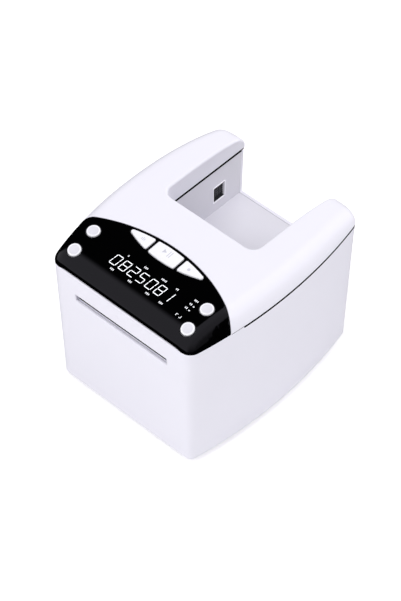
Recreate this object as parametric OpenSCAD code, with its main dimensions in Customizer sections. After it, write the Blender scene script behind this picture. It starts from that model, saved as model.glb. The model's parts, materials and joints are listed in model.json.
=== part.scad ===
// Automatic playing-card shuffler and dealer on a turning base.
// Millimetres, +Z up. The origin is on the turning axis, at table level. The card exit faces -Y.

/* [Body] */
// Length of the body, front face to rear face
body_len = 131; // [129:1:134]
// Greatest width of the body
body_w = 112.8; // [112:0.2:116]
// Plan radius of the bowed sides
side_r = 290; // [260:5:340]
// Plan radius of the upright corners
corner_r = 7; // [6.5:0.5:8]
// Height of the seam between casing and top cover
seam_z = 92.2; // [91.8:0.1:92.8]
// Height of the casing's lower edge above the table
casing_z = 5; // [4.95:0.01:5.1]
// Inset of the casing's lower edge, from moulding draft
draft_in = 2.6; // [2.2:0.1:2.8]
// Wall thickness of the casing
wall = 2; // [1.6:0.1:2.1]

/* [Top cover] */
// Height of the crown above the seam
crown_h = 13.2; // [13:0.1:14]
// Distance of the crown's highest line behind the front face
crown_y = 55; // [52:1:58]
// Height of the cover's nose above the seam
nose_h = 1.2; // [1:0.1:1.6]
// Drop of the crown at the rear end
rear_drop = 5.5; // [5:0.1:6]
// Width of the rounded shoulders
shoulder = 8.5; // [8:0.25:9.5]
// Width of the black gap at the seam
gap_h = 1.2; // [0.8:0.1:1.4]

/* [Control panel] */
// Plan radius of the panel's rear edge
panel_r = 98; // [96:1:100]
// Distance of the panel's rear edge behind the front face, on the centre line
panel_reach = 42; // [41:0.5:43]
// Thickness of the black panel
panel_t = 1.6; // [1.4:0.1:1.8]
// Radius of the round buttons
round_r = 3.9; // [3.8:0.05:4.2]
// Travel of every button
press = 0.6; // [0.4:0.05:0.6]

/* [Card path] */
// Clear width of the hopper
hopper_w = 65; // [64.5:0.1:65.2]
// Height of the hopper floor above the table
floor_z = 59.2; // [59:0.1:59.4]
// Height of the card path at the exit slot
slot_z = 76.8; // [76.6:0.1:77]
// Clear height of the exit slot
slot_h = 4.8; // [4.6:0.1:5]
// Clear width of the exit slot
slot_w = 65; // [64.6:0.1:65.4]

/* [Drive] */
// Radius of the pickup rollers
pickup_r = 10; // [9.9:0.05:10.1]
// Radius of the exit rollers
exit_r = 7.3; // [7.2:0.05:7.4]
// Radius of the pinch rollers
pinch_r = 5; // [4.8:0.1:5]
// Gear module of the feed train
feed_m = 0.8; // [0.8:0.01:0.81]
// Running clearance of a shaft in its bush
run_c = 0.04; // [0.03:0.01:0.08]

/* [Turning base] */
// Radius of the base disc
base_r = 47; // [46.6:0.1:48]
// Teeth of the base's ring gear
ring_teeth = 72; // [72]
// Teeth of the turning pinion
turn_teeth = 12; // [12]

/* [Hidden] */
$fn = 48;

eps = 0.01;
half_l = body_len / 2;
half_w = body_w / 2;
side_c = side_r - half_w;
seat_t = 1.8;
seat_gap = 0.05;
cover_t = 2;
gap_y = 34.7 - half_l;
open_y = 67 - half_l;
open_r = 6;
panel_cy = panel_reach - half_l - panel_r;
panel_gap = 0.15;

// Card path, as [y, z] points
stop_y = 45 - half_l;
path_a = atan2(slot_z - floor_z - 0.9, half_l + stop_y);
path_n = [sin(path_a), cos(path_a)];
ramp_y = stop_y + 0.9 / tan(path_a);
function path_z(y) = slot_z - (y + half_l) * tan(path_a);
ramp_t = 1.8;
side_t = 2;
side_x = hopper_w / 2;
plate_y0 = 8.5 - half_l;
slot_z0 = slot_z - slot_h / 2 - 1;
slot_z1 = slot_z + slot_h / 2 - 1;
plate_y1 = half_l - wall - 0.2;
roller_x = 14;
roller_w = 12;

// Shaft positions, as [y, z] points
pickup_p = [-3.5, floor_z - pickup_r + 1];
pickup_teeth = 30;
pinion_teeth = 12;
wheel_teeth = 36;
idler_a = -53.5;
motor_a = -20.4;
function polar(d, a) = [d * cos(a), d * sin(a)];
idler_p = pickup_p + polar(feed_m * (pickup_teeth + pinion_teeth) / 2, idler_a);
feed_p = idler_p + polar(feed_m * (wheel_teeth + pinion_teeth) / 2, motor_a);
exit_y = 11.6 - half_l;
card_gap = 0.3;
exit_p = [exit_y, path_z(exit_y) - (exit_r - card_gap) / cos(path_a)];
pinch_p = exit_p + (exit_r + pinch_r + card_gap) * path_n;
exit_motor_p = [-31.5, 45.2];
pulley_r = 6;
motor_pulley_r = 4;
belt_w = 2.4;
belt_t = 1;
belt_x = -39;
shaft_r = 2;
pin_r = 1.5;
bush_r = 3.5;
motor_len = 25;
motor_w = 20;
motor_h = 15;
gear_w = 4;
gear_x1 = side_x + side_t + 2.5;
gear_x2 = gear_x1 + gear_w + 0.6;
backlash = 0.14;

// Turning base
foot_t = 1.5;
disc_t = 2.4;
disc_top = foot_t + disc_t;
ring_m = 1;
ring_r = ring_m * ring_teeth / 2;
ring_out = ring_r + 6;
ring_top = 9;
turn_p = [-ring_m * (ring_teeth - turn_teeth) / 2, 0];
roof_z = 11;
roof_t = 2;
recess_r = ring_out + 0.6;
post_r = 5;
boss_top = 14.6;
post_top = 15;
screw_r = 1.5;
small_screw_r = 1;
bore_c = 0.05;

// Buttons, as [x, y] places on the crown
round_x = 40;
round_front_y = 8.65 - half_l;
round_rear_y = 22.86 - half_l;
lens_y = 35.6 - half_l;
lens_top_r = panel_r - 1.8;
lens_low_r = 69;
lens_low_y = 30.3 - half_l;
lens_tip_x = 25.8;
mid_half = 9.05;
side_from = 10.65;
lens_round = 1;
button_c = 0.2;
flange = 0.6;
board_a = 9;
board_y = lens_y;
board_z = seam_z + 1.2;
board_t = 1.2;
switch_h = 4.3;
display_y = 16.3 - half_l;

// Half width of the plan outline, with inset i
function side_w(y, i) = sqrt(pow(side_r - i, 2) - y * y) - side_c;
function fil_r(i) = max(corner_r - i, 2);
function fil_y(i) = half_l - i - fil_r(i);
function fil_x(i) = sqrt(pow(side_r - i - fil_r(i), 2) - pow(fil_y(i), 2)) - side_c;
function fil_a(i) = atan2(fil_y(i), fil_x(i) + side_c);
function plan_w(y, i) = abs(y) < (side_r - i) * sin(fil_a(i)) ? side_w(y, i)
    : fil_x(i) + sqrt(max(0, pow(fil_r(i), 2) - pow(abs(y) - fil_y(i), 2)));
function right_side(i) = concat(
    [for (k = [0:5]) let (a = -90 + (90 - fil_a(i)) * k / 6)
        [fil_x(i) + fil_r(i) * cos(a), -fil_y(i) + fil_r(i) * sin(a)]],
    [for (k = [-8:8]) let (a = fil_a(i) * k / 8)
        [(side_r - i) * cos(a) - side_c, (side_r - i) * sin(a)]],
    [for (k = [1:6]) let (a = fil_a(i) + (90 - fil_a(i)) * k / 6)
        [fil_x(i) + fil_r(i) * cos(a), fil_y(i) + fil_r(i) * sin(a)]]);
function outline(i) = let (p = right_side(i)) concat(p, [for (k = [len(p) - 1:-1:0]) [-p[k][0], p[k][1]]]);

// Crown height above the seam at distance d behind the front face, with inset i
bow = 2.2;
tail_bow = 4;
tail_r = 7;
function nose_z(d, i) = let (t = min((crown_y - d) / (crown_y - i), 1))
    nose_h + (crown_h - nose_h - i) * pow(1 - pow(t, bow), 1 / bow);
function tail_z(d, i) = crown_h - i - rear_drop * pow((d - crown_y) / (body_len - crown_y), tail_bow)
    - tail_r + sqrt(pow(tail_r, 2) - pow(max(0, d + i + tail_r - body_len), 2) * 0.75);
function crown_z(y, i) = let (d = y + half_l) d < crown_y ? nose_z(d, i) : tail_z(d, i);
function shoulder_k(x, y) = let (s = (abs(x) - plan_w(y, 0) + shoulder) / shoulder)
    s > 0 ? sqrt(max(0, 1 - s * s)) : 1;
function crown_at(x, y) = seam_z + crown_z(y, 0) * shoulder_k(x, y);
function crown_slope(y) = atan2(crown_z(y + 1, 0) - crown_z(y - 1, 0), 2);

// Involute flank angle, and the outline of a spur gear with n teeth of module m
press_a = 25;
function inv(a) = tan(a) * 180 / PI - a;
function flank(r, rb) = r <= rb ? 0 : inv(acos(rb / r));
function gear_points(n, m, add, ded, play) = let (
    rp = m * n / 2, rb = rp * cos(press_a), half = 90 / n - play / rp * 90 / PI + inv(press_a),
    radii = [for (k = [0:4]) rp - ded + (add + ded) * k / 4])
    [for (t = [0:n - 1]) each concat(
        [for (k = [0:4]) polar(radii[k], 360 * t / n - half + flank(radii[k], rb))],
        [for (k = [4:-1:0]) polar(radii[k], 360 * t / n + half - flank(radii[k], rb))])];

// Colours
shell_white = [0.93, 0.93, 0.97];
panel_black = [0.03, 0.03, 0.035];
trim_grey = [0.72, 0.72, 0.75];
frame_grey = [0.55, 0.56, 0.6];
rubber_black = [0.1, 0.1, 0.1];
gear_white = [0.88, 0.87, 0.8];
steel = [0.75, 0.76, 0.78];
bronze = [0.7, 0.5, 0.25];
board_green = [0.05, 0.35, 0.18];
cell_blue = [0.15, 0.35, 0.65];

// Places a shape drawn in [y, z] and extruded along +X from x
module along_x(x, h) {
    translate([x, 0, 0]) rotate([90, 0, 90]) linear_extrude(height = h) children();
}

// A round bar along +X at a [y, z] point
module bar_x(p, x, h, r) {
    translate([x, p[0], p[1]]) rotate([0, 90, 0]) cylinder(r = r, h = h);
}

// A block given by its lower and upper corners
module block(a, b) {
    translate(a) cube(b - a);
}

// A spur gear along +Z with tooth 0 at angle a and a bore of radius b
module spur(n, m, h, a, b) {
    difference() {
        rotate([0, 0, a]) linear_extrude(height = h)
            polygon(gear_points(n, m, 0.9 * m, 1.15 * m, backlash / 2));
        translate([0, 0, -1]) cylinder(r = b, h = h + 2);
    }
}

module spur_x(p, x, n, m, h, a, b) {
    translate([x, p[0], p[1]]) rotate([90, 0, 90]) spur(n, m, h, a, b);
}

// Section ring of the crown at y, with inset i, from low under the seam up
function crown_ring(y, i, low) = let (
    w = plan_w(y, i), z = crown_z(y, i), s = shoulder - i,
    curve = [for (k = [0:7]) [w - s + s * cos(90 * k / 7), y, seam_z + z * sin(90 * k / 7)]],
    right = concat([[w, y, seam_z - low]], curve))
    concat(right, [for (k = [8:-1:0]) [-right[k][0], y, right[k][2]]]);

// Solid under the crown, as a row of convex slabs that share their rings
module crown(i, low = 0) {
    front = [for (k = [0:9]) i - half_l + (crown_y - i) * (1 - cos(9 * k))];
    rear = [for (k = [0:8]) crown_y - half_l + (body_len - crown_y - i) * sin(90 * k / 8)];
    y = concat(front, rear);
    for (k = [0:len(y) - 2]) {
        points = concat(crown_ring(y[k], i, low), crown_ring(y[k + 1], i, low));
        hull() polyhedron(points, [[for (n = [0:len(points) - 1]) n]]);
    }
}

// Plan region in front of the panel's curved rear edge, grown by g
module panel_region(g) {
    translate([0, panel_cy, seam_z - 20]) cylinder(r = panel_r + g, h = 60, $fn = 240);
}

// Plan region of the hopper mouth, open to the rear, grown by g
module mouth_region(g, z0, z1) {
    r = open_r + g;
    x = side_x - 0.5 + g;
    translate([0, 0, z0]) linear_extrude(height = z1 - z0) union() {
        translate([-x, open_y - g + r]) square([2 * x, body_len]);
        translate([r - x, open_y - g]) square([2 * (x - r), body_len]);
        for (s = [-1, 1]) translate([s * (x - r), open_y - g + r]) circle(r = r);
    }
}

// Frame of the crown's surface at [x, y]: local Z is the outward normal
module on_crown(x, y) {
    translate([x, y, crown_at(x, y)]) rotate([crown_slope(y), 0, 0]) children();
}

// Plan outlines of the three shaped buttons: side is -1, 0 or 1
module lens_outline(side, grow) {
    offset(r = lens_round + grow) offset(delta = -lens_round) intersection() {
        translate([0, panel_cy]) circle(r = lens_top_r, $fn = 180);
        translate([0, lens_low_y + lens_low_r]) circle(r = lens_low_r, $fn = 180);
        if (side == 0) translate([-mid_half, -body_len]) square([2 * mid_half, 2 * body_len]);
        else translate([side > 0 ? side_from : -lens_tip_x, -body_len])
            square([lens_tip_x - side_from, 2 * body_len]);
    }
}

// Prism of a shaped button in the crown's local frame at its centre line
module lens_prism(side, grow, z0, z1) {
    on_crown(0, lens_y) translate([0, -lens_y, z0]) linear_extrude(height = z1 - z0) lens_outline(side, grow);
}

module round_prism(x, y, r, z0, z1) {
    on_crown(x, y) translate([0, 0, z0]) cylinder(r = r, h = z1 - z0);
}

module button_holes(grow) {
    for (side = [-1:1]) lens_prism(side, button_c + grow, -9, 9);
    for (x = [-round_x, round_x], y = [round_front_y, round_rear_y])
        round_prism(x, y, round_r + button_c + grow, -9, 9);
}

// Turning base
module foot_ring() {
    color(rubber_black) difference() {
        cylinder(r = base_r - 2, h = foot_t, $fn = 96);
        translate([0, 0, -1]) cylinder(r = base_r - 12, h = foot_t + 2, $fn = 96);
    }
}

ring_screw_r = ring_out - 2.4;
ring_screw_a = [0, 120, 240];

module base_disc() {
    color(shell_white) difference() {
        union() {
            translate([0, 0, foot_t]) cylinder(r = base_r, h = disc_t, $fn = 96);
            cylinder(r = post_r, h = post_top);
            cylinder(r = base_r - 12, h = foot_t);
        }
        translate([0, 0, -1]) cylinder(r = base_r - 20, h = foot_t + 1);
        translate([0, 0, 4]) cylinder(r = screw_r, h = post_top);
        for (a = ring_screw_a) rotate([0, 0, a]) translate([ring_screw_r, 0, foot_t - eps]) {
            cylinder(r = small_screw_r, h = disc_t + 1);
            cylinder(r = 2, h = 1 + eps);
        }
    }
}

module ring_gear() {
    color(gear_white) translate([0, 0, disc_top]) difference() {
        cylinder(r = ring_out, h = ring_top - disc_top, $fn = 96);
        translate([0, 0, -1]) linear_extrude(height = ring_top)
            polygon(gear_points(ring_teeth, ring_m, 1.15 * ring_m, 0.85 * ring_m, -backlash / 2));
        for (a = ring_screw_a) rotate([0, 0, a]) translate([ring_screw_r, 0, -1])
            cylinder(r = small_screw_r, h = 5);
    }
}

module ring_gear_screws() {
    color(steel) for (a = ring_screw_a) rotate([0, 0, a]) translate([ring_screw_r, 0, foot_t]) {
        cylinder(r = small_screw_r, h = disc_t + 3);
        cylinder(r = 2, h = 1);
    }
}

// Screw whose broad flange holds the body on the base's post
module pivot_screw() {
    color(steel) translate([0, 0, post_top]) union() {
        cylinder(r = 8.5, h = 1);
        cylinder(r = 3, h = 3);
        translate([0, 0, -8]) cylinder(r = screw_r, h = 9);
    }
}

module thrust_ring() {
    color(gear_white) translate([0, 0, disc_top]) difference() {
        cylinder(r = base_r - 0.4, h = casing_z - disc_top - 0.1, $fn = 96);
        translate([0, 0, -1]) cylinder(r = recess_r + 0.4, h = 4, $fn = 96);
    }
}

bottom_screw_p = [[-38, -52], [38, -52], [-38, 52], [38, 52]];
bottom_top = casing_z + 2;

module bottom_cover() {
    color(shell_white) difference() {
        union() {
            translate([0, 0, casing_z]) linear_extrude(height = bottom_top - casing_z)
                polygon(outline(draft_in + wall + 0.15));
            translate([0, 0, casing_z]) cylinder(r = recess_r + 2, h = roof_z + roof_t - casing_z, $fn = 96);
            translate([0, 0, casing_z]) cylinder(r = post_r + 3.5, h = boss_top - casing_z);
        }
        difference() {
            translate([0, 0, casing_z - 1]) cylinder(r = recess_r, h = roof_z - casing_z + 1, $fn = 96);
            translate([0, 0, roof_z - 2]) cylinder(r = post_r + 3.5, h = 3);
        }
        cylinder(r = post_r + run_c, h = 30);
        translate([turn_p[0], turn_p[1], 5]) cylinder(r = 4, h = 20);
        for (p = bottom_screw_p) translate([p[0], p[1], casing_z - 1]) {
            cylinder(r = screw_r, h = 4);
            cylinder(r = 2.6, h = 2);
        }
    }
}

module bottom_screws() {
    color(steel) for (p = bottom_screw_p) translate([p[0], p[1], casing_z]) {
        translate([0, 0, 1]) cylinder(r = screw_r, h = 9);
        cylinder(r = 2.5, h = 1);
    }
}

// Outer or inner form of the casing, with inset i and the ends moved out by e
module casing_form(i, e) {
    hull() {
        translate([0, 0, seam_z + e - eps]) linear_extrude(height = eps) polygon(outline(i));
        translate([0, 0, casing_z - e]) linear_extrude(height = eps) polygon(outline(i + draft_in));
    }
}

cover_screw_p = [[-46.5, -49], [46.5, -49], [-44, 50], [44, 50]];
ledge_z = seam_z - 16;
port_x = 14;
port_z = 24;
rocker_x = -14;

module main_casing() {
    color(shell_white) difference() {
        union() {
            difference() {
                casing_form(0, 0);
                casing_form(wall, 1);
            }
            intersection() {
                casing_form(wall / 2, 0);
                union() {
                    for (p = bottom_screw_p) translate([p[0], p[1], bottom_top]) {
                        cylinder(r = 3.5, h = 14);
                        translate([p[0] > 0 ? 0 : -20, -1, 0]) cube([20, 2, 14]);
                    }
                    for (p = cover_screw_p) translate([p[0], p[1], ledge_z]) {
                        cylinder(r = 3.5, h = 6);
                        translate([p[0] > 0 ? 0 : -20, -1, 0]) cube([20, 2, 6]);
                    }
                }
            }
        }
        block([-half_w, gap_y, seam_z - gap_h], [half_w, half_l + 1, seam_z + 1]);
        block([-side_x, half_l - 10, floor_z], [side_x, half_l + 1, seam_z + 1]);
        block([-slot_w / 2, -half_l - 1, slot_z0], [slot_w / 2, 4 - half_l, slot_z1]);
        block([port_x - 5, half_l - 8, port_z - 2.2], [port_x + 5, half_l + 1, port_z + 2.2]);
        block([rocker_x - 6.9, half_l - 8, port_z - 4.6], [rocker_x + 6.9, half_l + 1, port_z + 4.6]);
        for (p = bottom_screw_p) translate([p[0], p[1], casing_z]) cylinder(r = screw_r, h = 10);
        for (p = cover_screw_p) translate([p[0], p[1], ledge_z - 1]) cylinder(r = screw_r, h = 8);
    }
}

module seam_gasket() {
    color(rubber_black) difference() {
        translate([0, 0, seam_z - gap_h]) linear_extrude(height = gap_h) polygon(outline(0.1));
        translate([0, 0, seam_z - gap_h - 1]) linear_extrude(height = gap_h + 2) polygon(outline(wall));
        block([-half_w, -half_l, seam_z - 5], [half_w, gap_y + 0.2, seam_z + 1]);
        block([-side_x, 0, seam_z - 5], [side_x, half_l + 1, seam_z + 1]);
    }
    color(rubber_black) for (s = [-1, 1])
        block([s > 0 ? side_x + 0.5 : -side_x - side_t, open_y + 2, seam_z - gap_h],
            [s > 0 ? side_x + side_t : -side_x - 0.5, plate_y1, seam_z]);
}

module top_cover() {
    color(shell_white) difference() {
        union() {
            difference() {
                crown(0);
                panel_region(0);
            }
            crown(panel_t + seat_gap);
        }
        difference() {
            union() {
                difference() {
                    crown(cover_t, 1);
                    panel_region(cover_t);
                }
                crown(panel_t + seat_t, 1);
            }
            mouth_region(cover_t, seam_z, seam_z + 30);
            for (p = cover_screw_p) translate([p[0], p[1], seam_z]) cylinder(r = 3.5, h = 30);
        }
        mouth_region(0, seam_z - 1, seam_z + 30);
        button_holes(0.1);
        on_crown(0, display_y) translate([-27, -8.5, -8]) cube([54, 17, 16]);
        for (p = cover_screw_p) translate([p[0], p[1], seam_z - 1]) cylinder(r = screw_r + bore_c, h = 5);
    }
    color(shell_white) for (p = cover_screw_p) translate([p[0], p[1], ledge_z + 6]) difference() {
        cylinder(r = 3.2, h = seam_z - ledge_z - 6 + 0.5);
        translate([0, 0, -1]) cylinder(r = screw_r + bore_c, h = 20);
    }
    color(shell_white) difference() {
        intersection() {
            crown(panel_t + 0.5, 10);
            for (p = board_screw_p) on_board(p[0], p[1]) cylinder(r = 2.4, h = 20);
        }
        for (p = board_screw_p) on_board(p[0], p[1]) translate([0, 0, -1])
            cylinder(r = small_screw_r + bore_c, h = 5);
    }
}

module cover_screws() {
    color(steel) for (p = cover_screw_p) translate([p[0], p[1], ledge_z]) {
        cylinder(r = screw_r, h = 14);
        translate([0, 0, -1.6]) cylinder(r = 2.8, h = 1.6);
    }
}

module control_panel() {
    color(panel_black) intersection() {
        panel_region(-panel_gap);
        difference() {
            crown(0);
            crown(panel_t, 1);
            button_holes(0);
        }
    }
}

module display_module() {
    color(rubber_black) union() {
        on_crown(0, display_y) {
            translate([-26, -8, -6]) cube([52, 16, 3.8]);
            translate([-29, -9.6, -6]) cube([58, 19.2, 1.6]);
        }
        for (x = [-24, 24]) on_board(x, display_y) cylinder(r = 1.5, h = 7);
    }
}

// Frame of the tilted button board, with local Z across it
module on_board(x, y) {
    translate([x, y, board_z + (y - board_y) * tan(board_a)]) rotate([board_a, 0, 0]) children();
}

board_screw_p = [[-35, -33], [35, -33], [-28, -60], [28, -60]];

module button_board() {
    color(board_green) difference() {
        on_board(0, board_y) translate([-42.5, -29, -board_t]) cube([85, 34, board_t]);
        for (p = board_screw_p) on_board(p[0], p[1]) translate([0, 0, -5])
            cylinder(r = small_screw_r, h = 10);
    }
}

module board_screws() {
    color(steel) for (p = board_screw_p) on_board(p[0], p[1]) {
        translate([0, 0, -board_t]) cylinder(r = small_screw_r, h = board_t + 3.5);
        translate([0, 0, -board_t - 1.2]) cylinder(r = 1.9, h = 1.2);
    }
}

switch_p = [[-16.5, lens_y], [0, lens_y], [16.5, lens_y], [-round_x, round_front_y],
    [round_x, round_front_y], [-round_x, round_rear_y], [round_x, round_rear_y]];

module tact_switches() {
    color(rubber_black) for (p = switch_p) on_board(p[0] > 38 ? 39.5 : p[0] < -38 ? -39.5 : p[0], p[1] + 1) {
        translate([-3, -3, 0]) cube([6, 6, switch_h - 0.8]);
        cylinder(r = 1.6, h = switch_h);
    }
}

// Distance from the crown's surface down to the foot of a button at y, clear of its switch when pressed
function stem(y) = (crown_at(0, y) - board_z - (y - board_y) * tan(board_a)) - switch_h - press - 0.35;
cap_h = 0.7;
lip_z = panel_t + seat_t + 0.35;

module lens_button(side) {
    color(shell_white) union() {
        lens_prism(side, 0, -lip_z - 1, cap_h);
        lens_prism(side, flange, -lip_z - 1, -lip_z);
        on_crown(side * 16.5, lens_y) translate([0, 0, -stem(lens_y)]) cylinder(r = 1.6, h = stem(lens_y) - 2);
    }
}

module round_button(x, y) {
    color(shell_white) union() {
        round_prism(x, y, round_r, -lip_z - 1, cap_h);
        round_prism(x, y, round_r + flange, -lip_z - 1, -lip_z);
        round_prism(x, y, 1.6, -stem(y), -2);
    }
}

module start_button() {
    lens_button(0);
}

module left_button() {
    lens_button(-1);
}

module right_button() {
    lens_button(1);
}

module slot_trim() {
    x = slot_w / 2;
    color(trim_grey) difference() {
        block([-x - 1, 2.65 - half_l, slot_z0 - 1], [x + 1, 3.6 - half_l, slot_z1 + 1]);
        block([-x, -half_l - 1, slot_z0], [x, 5 - half_l, slot_z1]);
    }
}

// Inner frame of the card path
foot_half = 19;
motor_bay = 7;
motor_bay_z = 38.5;
sensor_y = 111 - half_l;
sensor_z = seam_z - 20.2;
sensor_w = 8.8;
sensor_h = 10.4;
guide_t = 1.5;
guide_gap = 3;
plate_z = 36;

module side_plate(s) {
    color(frame_grey) difference() {
        union() {
            along_x(s > 0 ? side_x : -side_x - side_t, side_t) union() {
                polygon([[plate_y0, plate_z], [plate_y1 - 1.7, plate_z], [plate_y1, seam_z - gap_h],
                    [plate_y0, seam_z - gap_h]]);
                translate([-foot_half, roof_z + roof_t]) square([2 * foot_half, 30]);
                translate([14, 20]) square([24, 20]);
            }
        }
        for (p = [pickup_p, exit_p]) bar_x(p, -60, 120, bush_r);
        bar_x(pinch_p, -60, 120, pin_r + run_c);
        bar_x(s > 0 ? feed_p : exit_motor_p, -60, 120, 3.2);
        if (s > 0) bar_x(idler_p, -60, 120, pin_r);
        block([-60, sensor_y - sensor_w / 2, sensor_z - sensor_h / 2],
            [60, sensor_y + sensor_w / 2, sensor_z + sensor_h / 2]);
        block([-60, plate_y0 - 1, seam_z - 5.4], [60, lens_y + 8, seam_z + 1]);
        block([-60, -motor_bay, 0], [60, motor_bay, motor_bay_z]);
    }
}

module side_plate_left() {
    side_plate(-1);
}

module side_plate_right() {
    side_plate(1);
}

module roller_windows(y, z, half, h) {
    for (s = [-1, 1]) block([s * roller_x - roller_w / 2 - 1, y - half, z - h],
        [s * roller_x + roller_w / 2 + 1, y + half, z + h]);
}

module hopper_floor() {
    color(frame_grey) difference() {
        block([-side_x, ramp_y, floor_z - ramp_t], [side_x, plate_y1 - 1.1, floor_z]);
        roller_windows(pickup_p[0], floor_z, 8.5, 5);
    }
}

// Profile of a sloping plate from y0 to y1, its face lifted by g off the card path, t thick
module slope_profile(y0, y1, g, t) {
    a = g / cos(path_a);
    b = t / cos(path_a);
    polygon([[y0, path_z(y0) + a], [y1, path_z(y1) + a], [y1, path_z(y1) + a - b], [y0, path_z(y0) + a - b]]);
}

module card_ramp() {
    color(frame_grey) difference() {
        along_x(-side_x, hopper_w) slope_profile(3.7 - half_l, ramp_y, 0, ramp_t);
        roller_windows(exit_p[0] + 2.5, exit_p[1] + 6, 8.5, 9);
    }
}

module stack_stop() {
    color(frame_grey) block([-side_x, stop_y - 2, floor_z + 2.8], [side_x, stop_y, seam_z - 3]);
}

module retard_pad() {
    color(rubber_black) union() {
        block([-6, stop_y, floor_z + 2.8], [6, stop_y + 1.4, floor_z + 9]);
        bar_x([stop_y + 0.7, floor_z + 2.8], -6, 12, 0.7);
    }
}

module upper_guide() {
    color(frame_grey) along_x(-side_x, hopper_w)
        slope_profile(exit_p[0] + 12, stop_y - 2.2, guide_gap + guide_t, guide_t);
}

module sensor_window(s) {
    w = sensor_w + 3;
    h = sensor_h + 3;
    color(rubber_black) union() {
        block([s > 0 ? side_x + 0.4 : -side_x - side_t, sensor_y - sensor_w / 2, sensor_z - sensor_h / 2],
            [s > 0 ? side_x + side_t : -side_x - 0.4, sensor_y + sensor_w / 2, sensor_z + sensor_h / 2]);
        block([s > 0 ? side_x + side_t : -side_x - side_t - 1, sensor_y - w / 2, sensor_z - h / 2],
            [s > 0 ? side_x + side_t + 1 : -side_x - side_t, sensor_y + w / 2, sensor_z + h / 2]);
    }
}

module sensor_window_left() {
    sensor_window(-1);
}

module sensor_window_right() {
    sensor_window(1);
}

module sensor_boards() {
    x = side_x + side_t + 1;
    color(board_green) for (s = [-1, 1]) union() {
        block([s > 0 ? x + 2 : -x - 3.2, sensor_y - 7, sensor_z - 10],
            [s > 0 ? x + 3.2 : -x - 2, sensor_y + 7, sensor_z + 8]);
        bar_x([sensor_y, sensor_z], s > 0 ? x : -x - 2.5, 2.5, 2);
    }
}

bush_out = 1.5;

module frame_bushes() {
    color(bronze) for (p = [pickup_p, exit_p], s = [-1, 1]) difference() {
        union() {
            bar_x(p, s > 0 ? side_x : -side_x - side_t, side_t, bush_r);
            bar_x(p, s > 0 ? side_x + side_t : -side_x - side_t - bush_out, bush_out, bush_r + 1);
        }
        bar_x(p, -60, 120, shaft_r + run_c);
    }
}

// A rubber roller on its hub
module roller_pair(p, r, bore) {
    color(rubber_black) for (s = [-1, 1]) difference() {
        bar_x(p, s * roller_x - roller_w / 2, roller_w, r);
        bar_x(p, -60, 120, bore);
    }
}

shaft_end = side_x + side_t + bush_out;

module pickup_shaft() {
    color(steel) bar_x(pickup_p, -shaft_end - 0.5, shaft_end + 0.5 + gear_x1 + gear_w + 0.3, shaft_r);
}

module pickup_rollers() {
    roller_pair(pickup_p, pickup_r, shaft_r);
}

module pickup_gear() {
    color(gear_white)
        spur_x(pickup_p, gear_x1, pickup_teeth, feed_m, gear_w, idler_a + 180 / pickup_teeth, shaft_r);
}

module idler_pin() {
    color(steel) union() {
        bar_x(idler_p, side_x, gear_x2 + gear_w - side_x + 0.3, pin_r);
        bar_x(idler_p, gear_x2 + gear_w + 0.3, 1, pin_r + 1);
    }
}

module idler_gear() {
    color(gear_white) union() {
        spur_x(idler_p, gear_x1, pinion_teeth, feed_m, gear_w + 0.6, idler_a + 180, pin_r + run_c);
        spur_x(idler_p, gear_x2, wheel_teeth, feed_m, gear_w, motor_a, pin_r + run_c);
    }
}

// A flat-sided DC motor lying along X, its face against a side plate
module flat_motor(p, s) {
    x0 = s > 0 ? side_x - motor_len : -side_x;
    color(steel) difference() {
        union() {
            intersection() {
                bar_x(p, x0, motor_len, motor_w / 2);
                block([-60, p[0] - motor_w, p[1] - motor_h / 2], [60, p[0] + motor_w, p[1] + motor_h / 2]);
            }
            bar_x(p, s > 0 ? side_x : -side_x - side_t, side_t, 3.2);
        }
        bar_x(p, s > 0 ? side_x - 8 : -side_x - 8, 16, 1 + run_c);
    }
}

module feed_motor() {
    flat_motor(feed_p, 1);
}

module feed_pinion() {
    color(gear_white) union() {
        spur_x(feed_p, gear_x2, pinion_teeth, feed_m, gear_w, motor_a + 180 + 180 / pinion_teeth, 1);
        bar_x(feed_p, side_x - 7, gear_x2 + gear_w + 1 - side_x + 7, 1);
    }
}

module exit_shaft() {
    color(steel) bar_x(exit_p, belt_x - 3, shaft_end + 0.5 - belt_x + 3, shaft_r);
}

module exit_rollers() {
    roller_pair(exit_p, exit_r, shaft_r);
}

// A flanged pulley along +X centred on the belt
module pulley(p, r, bore) {
    color(gear_white) difference() {
        union() {
            bar_x(p, belt_x - belt_w / 2 - 1, belt_w + 2, r);
            for (s = [-1, 1]) bar_x(p, belt_x + s * (belt_w / 2 + 0.6) - 0.4, 0.8, r + belt_t + 0.6);
        }
        bar_x(p, belt_x - 5, 10, bore);
    }
}

module exit_pulley() {
    pulley(exit_p, pulley_r, shaft_r);
}

module exit_motor() {
    flat_motor(exit_motor_p, -1);
}

module motor_pulley() {
    union() {
        pulley(exit_motor_p, motor_pulley_r, 0.9);
        color(steel) bar_x(exit_motor_p, belt_x - 3, 7 - side_x - belt_x + 3, 1);
    }
}

// Outline round both pulleys, lifted by g
module belt_outline(g) {
    hull() {
        translate(exit_p) circle(r = pulley_r + g, $fn = 96);
        translate(exit_motor_p) circle(r = motor_pulley_r + g, $fn = 96);
    }
}

module exit_belt() {
    color(rubber_black) along_x(belt_x - belt_w / 2, belt_w) difference() {
        belt_outline(belt_t);
        belt_outline(0.05);
    }
}

module pinch_shaft() {
    color(steel) bar_x(pinch_p, -side_x - side_t - 0.5, hopper_w + 2 * side_t + 1, pin_r);
}

module pinch_rollers() {
    roller_pair(pinch_p, pinch_r, pin_r);
}

// Turning drive
turn_top = roof_z + roof_t;

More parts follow.
